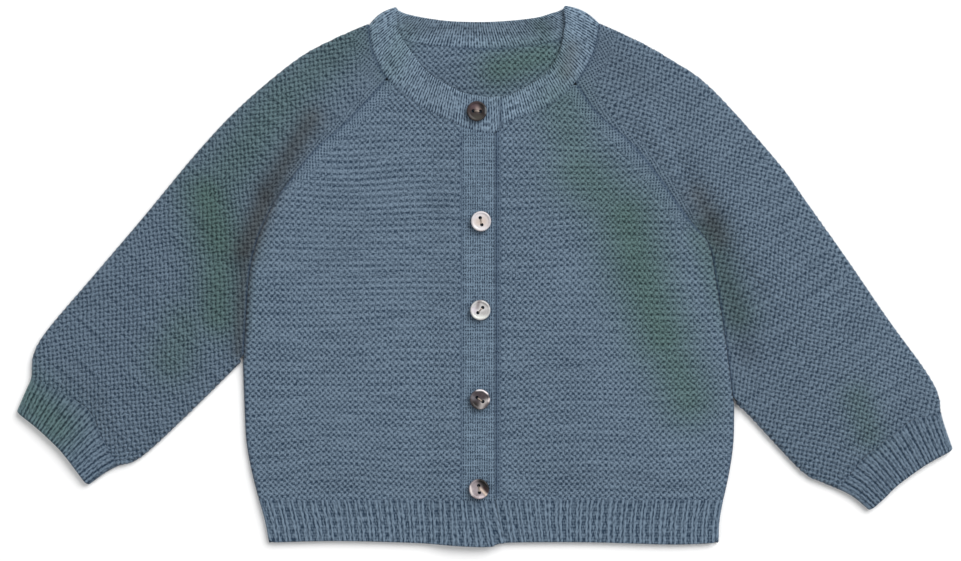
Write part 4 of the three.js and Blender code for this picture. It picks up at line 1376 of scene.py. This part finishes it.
@dataclass
class Neckband:
    """The ribbed band round the neck, folded over at the shoulders."""

    body: Body
    stitch: Stitch = NECK_RIB
    step: float = 0.5
    depth: float = 17.0
    depth_step: float = 0.75
    arc: tuple[float, ...] = (72, 54, 36, 18, 0, -18, -36, -54, -72)
    rim: float = 1.0
    arch: float = 0.5  # the band stands this much proud in its middle
    bulge: float = 2.2  # and at the shoulders it folds this far out

    def part(self, rows: Rows, height: Height) -> np.ndarray:
        """Lay out one part of the band, as stations of points from its sewn edge to its free edge."""
        seam, free = (smooth_line([row[k : k + 2] for row in rows]) for k in (0, 2))
        length = float(np.linalg.norm(np.diff(seam, axis=0), axis=1).sum())
        knots = np.linspace(0.0, 1.0, round(length / self.step))
        seam, free = resample(seam, knots), resample(free, knots)
        gap = self.body.seam / np.linalg.norm(free - seam, axis=1, keepdims=True)
        seam = blend(seam, free, gap)
        shares = spread(self.depth, self.depth_step, (0.8, self.rim))
        flat = blend(seam[:, None], free[:, None], shares[None, :, None])
        z = height(flat[..., 0], flat[..., 1]) + self.arch * np.sin(math.pi * shares)[None, :]
        return np.dstack([flat, z])

    def shoulder(self, station: np.ndarray, side: Side) -> np.ndarray:
        """Return the stations round a shoulder fold, from the front layer down to the back one."""
        drape = self.body.drape
        ahead = station[-1, :2] - station[0, :2]
        out = np.array([-ahead[1], ahead[0]]) / np.linalg.norm(ahead) * -side.value
        radius, stations = drape.step / 2, []
        depth = np.linalg.norm(station - station[0], axis=1)
        bow = radius + self.bulge * np.sin(math.pi * depth / depth[-1])
        for turn in np.radians(self.arc):
            place = station.copy()
            place[:, :2] += out * bow[:, None] * math.cos(turn)
            level = station[:, 2] - drape.front if turn > 0 else 0.0
            place[:, 2] = drape.side_seam + radius * math.sin(turn) + level * max(math.sin(turn), 0.0)
            stations.append(place)
        return np.array(stations)

    def cloth(self) -> Cloth:
        """Lay out the whole band, from the right front's edge round the neck to the left front's."""
        drape = self.body.drape
        right = self.part(RIGHT.neck, drape.front_layer(RIGHT))
        left = self.part(LEFT.neck, drape.front_layer(LEFT))
        back = self.part(BACK_NECK, drape.back_layer)
        back[..., 2] = drape.back  # which lies flat, with no arch
        mid = np.concatenate(
            [right, self.shoulder(right[-1], Side.RIGHT), back, self.shoulder(left[0], Side.LEFT)[::-1], left]
        )
        middle = mid.shape[1] // 2
        steps = np.linalg.norm(np.diff(mid[:, middle], axis=0), axis=1)
        wales = np.concatenate([[0.0], np.cumsum(steps)]) / self.stitch.wale
        depth = np.insert(np.cumsum(np.linalg.norm(np.diff(mid, axis=1), axis=-1), axis=1), 0, 0.0, axis=1)
        counts = np.stack([np.broadcast_to(wales[:, None], depth.shape), depth / self.stitch.course], axis=-1)
        rims = (OPEN, OPEN, LINKED, OPEN)
        return Cloth(mid, counts, self.stitch, 1, rims=rims, coarse=1, dot_pitch=self.stitch.wale)


@dataclass
class FrontBand:
    """A straight band down a front edge, knitted lengthways."""

    body: Body
    left: float
    right: float
    height: float
    neck: Rows
    edges: tuple[Rim, Rim]  # its left and right edge
    stitch: Stitch = BAND_RIB
    rim: float = 1.0
    length: float = 210.0
    row_step: float = 1.1
    column_step: float = 0.42

    def cloth(self) -> Cloth:
        """Lay out the band, from the hem rib up to the neckband's seam."""
        body = self.body
        shares = spread(self.right - self.left, self.column_step, (self.rim, self.rim))
        columns = blend(self.left, self.right, shares)
        bottom = body.rib_top + body.seam / 2
        rows = spread(self.length, self.row_step, (0.4, 0.5))
        top = y_at(neck_seam(self.neck), columns) - body.seam / 2
        y = blend(bottom, top[None, :], rows[:, None])
        x = np.broadcast_to(columns, y.shape)
        mid = np.dstack([x, y, np.full(y.shape, self.height)])
        counts = np.stack([x / self.stitch.wale, y / self.stitch.course], axis=-1)
        return Cloth(mid, counts, self.stitch, -1, rims=(RUN_ON, LINKED, *self.edges), coarse=1)


# ---- Buttons ----
@dataclass(frozen=True)
class Shell:
    """Polished mother-of-pearl or smoked sea shell, cut into a disc.

    Thin layers in the shell give it cloudy streaks and a soft pearly gloss. The patches are areas of another
    tone, placed in shares of the button's radius; among them are a painted glint and painted shade on the
    rim.
    """

    name: str
    base: str
    patches: tuple[tuple[Streak, str], ...]
    grain: float = 0.12
    grain_size: float = 2.4
    roughness: float = 0.34
    specular: float = 0.4

    def paint(self, face: np.ndarray) -> np.ndarray:
        """Return the colour at places on the button's face.

        Args:
            face: Places in shares of the radius, one row each.

        Returns:
            Linear colours with alpha, one row each.
        """
        colours = np.tile(np.array(linear(self.base)), (len(face), 1))
        for patch, code in self.patches:
            share = np.clip(patch.at(face[:, 0], face[:, 1]), 0.0, 1.0)[:, None]
            colours = blend(colours, np.array(linear(code)), share)
        return colours

    def material(self) -> bpy.types.Material:
        """Build the shell's material."""
        made = empty_material(self.name)
        tree = made.node_tree
        paint = node(tree, "ShaderNodeAttribute", attribute_name="shell").outputs["Color"]
        place = node(tree, "ShaderNodeTexCoord").outputs["Object"]
        grain = node(
            tree, "ShaderNodeTexNoise",
            {"Vector": place, "Scale": 1.0 / (self.grain_size * MM), "Detail": 3.0, "Distortion": 1.5},
        ).outputs[0]
        bright = {"Value": grain, "From Min": 0.25, "From Max": 0.75}
        bright |= {"To Min": 1 - self.grain, "To Max": 1 + self.grain}
        shade = node(tree, "ShaderNodeMapRange", bright).outputs[0]
        colour = node(tree, "ShaderNodeVectorMath", {0: paint, "Scale": shade}, operation="SCALE").outputs[0]
        rough = {"Value": grain, "To Min": self.roughness - 0.08, "To Max": self.roughness + 0.1}
        gloss = node(tree, "ShaderNodeMapRange", rough).outputs[0]
        raised = {"Height": grain, "Strength": 0.3, "Distance": 0.05 * MM}
        bump = node(tree, "ShaderNodeBump", raised).outputs[0]
        shader = node(
            tree, "ShaderNodeBsdfPrincipled",
            {"Base Color": colour, "Roughness": gloss, "Normal": bump, "IOR": 1.53,
             "Specular IOR Level": self.specular, "Coat Weight": 0.1, "Coat Roughness": 0.1},
        )
        node(tree, "ShaderNodeOutputMaterial", {"Surface": shader.outputs[0]})
        return made


@dataclass(frozen=True)
class SewingThread:
    """Spun polyester sewing thread: fine twisted strands with a slight gloss along them."""

    name: str = "spun_polyester_thread"
    colour: str = "#A4968A"
    shadow: str = "#6A6058"
    twist: float = 0.35  # length of one turn of the strands

    def material(self) -> bpy.types.Material:
        """Build the thread's material."""
        made = empty_material(self.name)
        tree = made.node_tree
        place = node(tree, "ShaderNodeTexCoord").outputs["Object"]
        wave = {"Vector": place, "Scale": 1.0 / (self.twist * MM) / 20, "Distortion": 2.0}
        strands = node(tree, "ShaderNodeTexWave", wave, bands_direction="DIAGONAL").outputs["Fac"]
        ends = {0: strands, 6: linear(self.shadow), 7: linear(self.colour)}
        colour = node(tree, "ShaderNodeMix", ends, data_type="RGBA").outputs[2]
        raised = {"Height": strands, "Strength": 0.5, "Distance": 0.05 * MM}
        bump = node(tree, "ShaderNodeBump", raised).outputs[0]
        shader = node(
            tree, "ShaderNodeBsdfPrincipled",
            {"Base Color": colour, "Roughness": 0.6, "Normal": bump, "Sheen Weight": 0.15},
        )
        node(tree, "ShaderNodeOutputMaterial", {"Surface": shader.outputs[0]})
        return made


@dataclass
class Button:
    """A dished shell button with a rounded rim and two holes, and the thread that holds it.

    Attributes:
        number: Its place from the neck down, as in the node's name.
        turn: The slant of its two holes, in degrees from the X axis.
        shell: What it is cut from.
        slot: Its material slot.
    """

    number: int
    turn: float
    shell: Shell
    slot: str
    radius: float = 5.75
    thickness: float = 2.2
    rim: float = 1.0
    dish: float = 0.5
    hole_radius: float = 1.0
    hole_spread: float = 2.0
    strand: float = 0.13  # radius of one thread
    strand_gap: float = 0.23  # between the threads over the dish
    foot: float = -2.9  # end of the wound shank, under the button
    shank: float = 0.75  # radius of its winding
    windings: int = 7
    sides: int = 96

    def place(self) -> np.ndarray:
        """Return the middle of the button's underside on the frame, in metres."""
        low, high = (np.array(corner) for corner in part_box(f"button_{self.number}"))
        return np.array([(low[0] + high[0]) / 2, (low[1] + high[1]) / 2, low[2]])

    def profile(self) -> np.ndarray:
        """Return the outline from the middle of the underside, over the rim, to the middle of the top."""
        r, top, bend = self.radius, self.thickness, 0.55
        low = [(0.0, 0.0), (r * 0.5, 0.0), (r - 1.2, 0.0)]
        turns = np.radians(np.linspace(-90, 90, 11))
        edge = [(r - bend * 1.2 + bend * 1.2 * math.cos(t), top / 2 + top / 2 * math.sin(t)) for t in turns]
        crown = [(r - self.rim, top - 0.03), (r - self.rim - 0.25, top - self.dish * 0.5),
                 (r - self.rim - 0.6, top - self.dish * 0.92)]
        shares = (0.92, 0.75, 0.55, 0.35, 0.15, 0.0)
        floor = [(share * (r - self.rim - 0.6), top - self.dish) for share in shares]
        return np.array(low + edge + crown + floor)

    def disc(self) -> bpy.types.Mesh:
        """Build the button's mesh about its own middle, in metres."""
        outline = self.profile()
        rings = outline[1:-1]
        turns = np.linspace(0.0, 2 * math.pi, self.sides, endpoint=False)
        points = [(0.0, 0.0, outline[0][1])]
        points += [(r * math.cos(t), r * math.sin(t), z) for r, z in rings for t in turns]
        points.append((0.0, 0.0, outline[-1][1]))
        count, last = self.sides, len(points) - 1
        faces = [[0, 1 + (k + 1) % count, 1 + k] for k in range(count)]
        for ring in range(len(rings) - 1):
            base = 1 + ring * count
            for k in range(count):
                following = (k + 1) % count
                faces.append([base + k, base + following, base + count + following, base + count + k])
        base = 1 + (len(rings) - 1) * count
        faces += [[last, base + k, base + (k + 1) % count] for k in range(count)]
        mesh = bpy.data.meshes.new("blank")
        mesh.from_pydata((np.array(points) * MM).tolist(), [], faces)
        return self.drilled(mesh)

    def drilled(self, mesh: bpy.types.Mesh) -> bpy.types.Mesh:
        """Cut the two holes out of the disc and paint it.

        Args:
            mesh: The disc, about its own middle.

        Returns:
            The button's finished mesh, about its own middle.
        """
        drill = bpy.data.meshes.new("drill")
        points, faces, sides = [], [], 32
        for end in self.holes():
            base = len(points)
            for z in (-1.0, self.thickness + 1.0):
                for t in np.linspace(0.0, 2 * math.pi, sides, endpoint=False):
                    offset = self.hole_radius * np.array([math.cos(t), math.sin(t)])
                    points.append((*(end + offset), z))
            faces += [
                [base + k, base + (k + 1) % sides, base + sides + (k + 1) % sides, base + sides + k]
                for k in range(sides)
            ]
            faces += [[base + k for k in reversed(range(sides))], [base + sides + k for k in range(sides)]]
        drill.from_pydata((np.array(points) * MM).tolist(), [], faces)
        pieces = [add_object(part.name, part) for part in (mesh, drill)]
        cut = pieces[0].modifiers.new("holes", "BOOLEAN")
        cut.operation = "DIFFERENCE"
        cut.object = pieces[1]
        cut.solver = "EXACT"
        ready = pieces[0].evaluated_get(bpy.context.evaluated_depsgraph_get())
        made = bpy.data.meshes.new_from_object(ready)
        for piece in pieces:
            bpy.data.objects.remove(piece)
        for used in (mesh, drill):
            bpy.data.meshes.remove(used)
        made.name = f"button_{self.number}_shell"
        spots = np.array([corner.co[:2] for corner in made.vertices]) / (self.radius * MM)
        layer = made.attributes.new("shell", "FLOAT_COLOR", "POINT")
        layer.data.foreach_set("color", self.shell.paint(spots).astype(np.float32).ravel())
        made.polygons.foreach_set("use_smooth", np.ones(len(made.polygons), bool))
        made.set_sharp_from_angle(angle=math.radians(50))
        return made

    def holes(self) -> list[np.ndarray]:
        """Return the middles of the two holes."""
        ahead = np.array([math.cos(math.radians(self.turn)), math.sin(math.radians(self.turn))])
        return [ahead * self.hole_spread * side for side in (-1, 1)]

    def thread(self) -> bpy.types.Mesh:
        """Build the thread: strands over the dish from hole to hole, and a wound shank underneath."""
        first, second = self.holes()
        ahead = (second - first) / np.linalg.norm(second - first)
        aside = np.array([-ahead[1], ahead[0]])
        face = self.thickness - self.dish
        foot, gap = self.foot, self.strand_gap
        points, faces = [], []
        for offset, lift in ((-gap, 0.1), (0.0, 0.18), (gap, 0.1)):
            shares = np.linspace(0.0, 1.0, 17)
            arch = np.sin(math.pi * shares) ** 0.5
            over = [
                (*(blend(first * 0.66, second * 0.66, s) + aside * offset), face + self.strand + lift * a)
                for s, a in zip(shares, arch)
            ]
            down = [(*(end * 0.7 + aside * offset * 0.6), -0.25) for end in (first, second)]
            self.sweep([down[0], *over, down[1]], points, faces)
        turns = np.linspace(0.0, self.windings * 2 * math.pi, 150)
        coil = [
            (self.shank * math.cos(t), self.shank * math.sin(t), blend(foot, -0.3, t / turns[-1]))
            for t in turns
        ]
        self.sweep(coil, points, faces)
        for end in (first, second):
            self.sweep([(*(end * 0.96), -0.1), (*(end * 0.5), -0.28), (0.0, 0.0, -0.35)], points, faces)
        core = [(0.0, 0.0, z) for z in np.linspace(foot, -0.2, 6)]
        self.sweep(core, points, faces, 0.6)
        mesh = bpy.data.meshes.new(f"button_thread_{self.number}_strands")
        mesh.from_pydata((np.array(points) * MM).tolist(), [], faces)
        mesh.polygons.foreach_set("use_smooth", np.ones(len(mesh.polygons), bool))
        return mesh

    def sweep(
        self, path: Sequence[tuple[float, ...]], points: list[Any], faces: list[list[int]],
        radius: float = 0.0,
    ) -> None:
        """Add a round tube along a path to lists of points and faces.

        Args:
            path: The middle of the tube, in millimetres.
            points: The mesh's points, which gain the tube's.
            faces: The mesh's faces, which gain the tube's.
            radius: The tube's radius, or 0 for one strand's.
        """
        line, sides = np.array(path, float), 8
        ahead = np.gradient(line, axis=0)
        ahead /= np.linalg.norm(ahead, axis=1, keepdims=True)
        reference = np.where(np.abs(ahead[:, 2:]) < 0.9, [[0.0, 0.0, 1.0]], [[1.0, 0.0, 0.0]])
        aside = np.cross(ahead, reference)
        aside /= np.linalg.norm(aside, axis=1, keepdims=True)
        above = np.cross(aside, ahead)
        base = len(points)
        for k, middle in enumerate(line):
            for t in np.linspace(0.0, 2 * math.pi, sides, endpoint=False):
                offset = aside[k] * math.cos(t) + above[k] * math.sin(t)
                points.append(tuple(middle + (radius or self.strand) * offset))
        for k in range(len(line) - 1):
            for s in range(sides):
                a, b = base + k * sides + s, base + k * sides + (s + 1) % sides
                faces.append([a, b, b + sides, a + sides])
        faces.append([base + s for s in reversed(range(sides))])
        faces.append([base + (len(line) - 1) * sides + s for s in range(sides)])

    def make(self, workroom: Workroom, thread: bpy.types.Material) -> None:
        """Place the button and its thread."""
        middle = self.place()
        for name, mesh, material, slot in (
            (f"button_{self.number}", self.disc(), self.shell.material(), self.slot),
            (f"button_thread_{self.number}", self.thread(), thread, "sewing_thread"),
        ):
            coordinates = np.empty(len(mesh.vertices) * 3)
            mesh.vertices.foreach_get("co", coordinates)
            mesh.vertices.foreach_set("co", (coordinates.reshape(-1, 3) + middle).ravel())
            mesh.update()
            workroom.piece(mesh.name, mesh, material, name, slot)


SMOKED_TOP = Shell(
    "smoked_shell_top", "#332C2C",
    (
        (Streak((-0.35, 0.4), (-0.1, 0.45), 0.35, 0.8), "#57464A"),
        (Streak((-0.2, -0.6), (0.35, -0.6), 0.3, 0.7), "#45443E"),
        (Streak((0.5, -0.1), (0.5, 0.5), 0.25, 0.9), "#191514"),
        (Streak((0.9, 0.3), (0.9, -0.2), 0.1, 0.8), "#6E7478"),
        (Streak((-0.95, -0.3), (-0.8, -0.6), 0.15, 0.8), "#191618"),
        # painted glint just right of the middle
        (Streak((0.05, 0.25), (0.2, 0.1), 0.2, 0.8), "#9D8B86"),
    ),
    specular=0.12,
)
PALE_PEARL = Shell(
    "mother_of_pearl_rose", "#C9C2C3",
    (
        (Streak((-0.2, -0.1), (0.2, 0.0), 0.45, 0.8), "#C0B0A4"),
        (Streak((-0.8, 0.4), (0.1, 0.85), 0.2, 0.6), "#D6D2D6"),
        (Streak((-0.7, -0.55), (0.5, -0.75), 0.18, 0.6), "#D2D2D6"),
        # The grey patches at the left and right edges are painted shade on the rounded rim.
        (Streak((0.85, 0.5), (0.95, -0.2), 0.12, 0.6), "#A6A6AC"),
        (Streak((-0.97, 0.2), (-0.9, -0.4), 0.1, 0.5), "#A6A6AC"),
    ),
    grain=0.07,
)
GREY_PEARL = Shell(
    "mother_of_pearl_grey", "#BDBCBB",
    (
        (Streak((-0.1, 0.95), (-0.3, 0.2), 0.2, 0.95), "#7E7678"),
        (Streak((0.15, 0.75), (0.8, 0.4), 0.13, 0.7), "#8F8B88"),
        (Streak((-0.7, 0.1), (-0.5, -0.1), 0.25, 0.6), "#C9BFCB"),
        (Streak((0.25, -0.35), (0.5, -0.2), 0.25, 0.7), "#94918F"),
        (Streak((-0.6, -0.65), (0.6, -0.7), 0.18, 0.7), "#D3D6D0"),
        (Streak((0.1, 0.1), (-0.15, -0.1), 0.16, 0.7), "#D6D3D1"),
    ),
    grain=0.12,
)
SMOKED_CRESCENT = Shell(
    "smoked_shell_crescent", "#4C4548",
    (
        (Streak((-0.6, -0.4), (-0.2, -0.7), 0.38, 1.0), "#262220"),
        (Streak((0.1, -0.85), (0.3, -0.35), 0.26, 1.0), "#9A9492"),
        (Streak((0.3, -0.35), (0.7, -0.1), 0.2, 0.9), "#A8A2A0"),
        (Streak((-0.9, 0.35), (-0.6, 0.1), 0.2, 0.6), "#7C7A80"),
        (Streak((-0.35, 0.95), (0.25, 0.95), 0.09, 1.0), "#F2ECEE"),
        (Streak((0.25, 0.95), (0.78, 0.6), 0.09, 1.0), "#E9DFE0"),
        (Streak((0.92, 0.05), (0.85, -0.15), 0.1, 0.8), "#F0E4E2"),
        (Streak((-0.15, 0.35), (0.3, 0.3), 0.25, 0.6), "#3A3034"),
    ),
    grain=0.2,
    specular=0.12,
)
SMOKED_SPLIT = Shell(
    "smoked_shell_split", "#9A9093",
    (
        (Streak((0.25, 0.85), (0.85, 0.15), 0.5, 1.0), "#1B1817"),
        (Streak((0.25, 0.85), (0.85, 0.15), 0.36, 1.0), "#1B1817"),
        (Streak((0.5, 0.1), (0.85, -0.25), 0.18, 0.9), "#2C1717"),
        (Streak((0.1, 0.08), (0.72, -0.58), 0.12, 1.0), "#D3BFB0"),
        (Streak((-0.88, 0.3), (-0.72, -0.6), 0.1, 0.7), "#E4DAD6"),
        (Streak((-0.2, -0.55), (-0.45, -0.75), 0.16, 0.6), "#7E6F71"),
        (Streak((0.1, -0.8), (0.4, -0.75), 0.14, 0.7), "#D8C9CC"),
    ),
    grain=0.16,
    specular=0.15,
)


# ---- The room ----
@dataclass
class Studio:
    """A pale floor, soft lights and the camera, which looks straight down."""

    distance: float = 1.3
    frame_width: float = 0.5478
    aim: tuple[float, float] = (-0.00269, -0.00254)
    sensor: float = 36.0
    floor_size: float = 6.0
    floor_colour: str = "#F8F8F8"

    def camera(self) -> None:
        """Place the camera above the cardigan."""
        data = bpy.data.cameras.new("camera")
        data.sensor_width = self.sensor
        data.lens = self.sensor * self.distance / self.frame_width
        made = add_object("camera", data)
        low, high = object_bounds()
        made.location = (*self.aim, (low.z + high.z) / 2 + self.distance)
        bpy.context.scene.camera = made

    def floor(self) -> None:
        """Lay the floor under the cardigan."""
        half = self.floor_size / 2
        mesh = bpy.data.meshes.new("floor")
        corners = [(-half, -half, 0.0), (half, -half, 0.0), (half, half, 0.0), (-half, half, 0.0)]
        mesh.from_pydata(corners, [], [(0, 1, 2, 3)])
        made = add_object("floor", mesh)
        # Matt white paper: it scatters light evenly and shows no gloss.
        paper = empty_material("matt_paper")
        tree = paper.node_tree
        shader = node(
            tree, "ShaderNodeBsdfPrincipled",
            {"Base Color": linear(self.floor_colour), "Roughness": 0.95, "Specular IOR Level": 0.1},
        )
        node(tree, "ShaderNodeOutputMaterial", {"Surface": shader.outputs[0]})
        mesh.materials.append(paper)
        made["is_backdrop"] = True

    def lights(self) -> None:
        """Hang one large soft key light, a weaker fill and an even sky."""
        for name, place, size, power in (
            ("key", (1.5, 1.7, 2.1), 2.6, 115.0),
            ("fill", (-1.6, -0.4, 2.2), 1.6, 14.0),
        ):
            data = bpy.data.lights.new(name, "AREA")
            data.shape = "DISK"
            data.size = size
            data.energy = power
            made = add_object(name, data)
            made.location = place
            made.rotation_euler = (-made.location).to_track_quat("-Z", "Y").to_euler()
        world = bpy.data.worlds.new("studio")
        world.use_nodes = True
        tree = world.node_tree
        tree.nodes.clear()
        sky = node(tree, "ShaderNodeBackground", {"Color": (1.0, 1.0, 1.0, 1.0), "Strength": 0.4})
        node(tree, "ShaderNodeOutputWorld", {"Surface": sky.outputs[0]})
        bpy.context.scene.world = world
        bpy.context.scene.view_settings.view_transform = "Standard"


def main() -> None:
    """Load the frame, make every piece of the cardigan and set up the room."""
    logging.basicConfig(level=logging.INFO, format="%(name)s: %(message)s")
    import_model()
    workroom, body = Workroom(), Body()
    drape, hem = body.drape, Hem(body)
    seed = KnittedYarn("seed_stitch_wool_cotton", SEED).material()
    rib = KnittedYarn(
        "ribbed_wool_cotton", BROAD_RIB, stretch=3.0, light_end=0.93, dark_end=0.02, uneven=0.4, row=0.25
    ).material()
    cuff_rib = KnittedYarn(
        "cuff_wool_cotton", CUFF_RIB, stretch=2.0, light_end=0.94, dark_end=0.0, uneven=0.5
    ).material()
    neck_rib = KnittedYarn(
        "fine_rib_wool_cotton", NECK_RIB, "#7D91A3", "#1B2E41", stretch=2.5, light_end=0.9, dark_end=0.0
    ).material()
    band_rib = KnittedYarn(
        "band_knit_wool_cotton", BAND_RIB, "#708496", "#1E2F40", uneven=0.85
    ).material()

    workroom.sew("back_panel", body.back(), seed, "seed_stitch", Held.LAID, "floor")
    workroom.sew("hem_back", hem.back(), rib, "rib", Held.LAID, "floor")
    for half in HALVES:
        label = half.side.label
        sleeve = Sleeve(half, body)
        workroom.sew(f"front_{label}", body.front(half), seed, "seed_stitch", Held.LAID, "back_panel_knit")
        workroom.sew(f"hem_front_{label}", hem.front(half), rib, "rib", Held.LAID, "hem_back_knit")
        workroom.sew(f"sleeve_{label}", sleeve.sleeve(), seed, "seed_stitch", Held.FOLDED, "floor")
        workroom.sew(f"cuff_{label}", sleeve.cuff(), cuff_rib, "rib", Held.FOLDED, "floor")
    workroom.sew("neckband", Neckband(body).cloth(), neck_rib, "rib", Held.FOLDED, "floor")
    under = FrontBand(body, -8.0, 10.6, drape.front, LEFT.neck, (OPEN, LINKED))
    over = FrontBand(body, -11.0, 7.6, drape.overlap, RIGHT.neck, (LINKED, OPEN))
    workroom.sew("button_band", under.cloth(), band_rib, "band_knit", Held.LAID, "back_panel_knit")
    workroom.sew("buttonhole_band", over.cloth(), band_rib, "band_knit", Held.LAID, "button_band_knit")

    thread = SewingThread().material()
    for number, (turn, shell, slot) in enumerate(
        (
            (-3, SMOKED_TOP, "smoked_shell"),
            (103, PALE_PEARL, "pale_shell"),
            (47, GREY_PEARL, "pale_shell"),
            (-35, SMOKED_CRESCENT, "smoked_shell"),
            (96, SMOKED_SPLIT, "mixed_shell"),
        ),
        start=1,
    ):
        Button(number, turn, shell, slot).make(workroom, thread)

    studio = Studio()
    studio.camera()
    studio.floor()
    studio.lights()


if __name__ == "__main__":
    main()
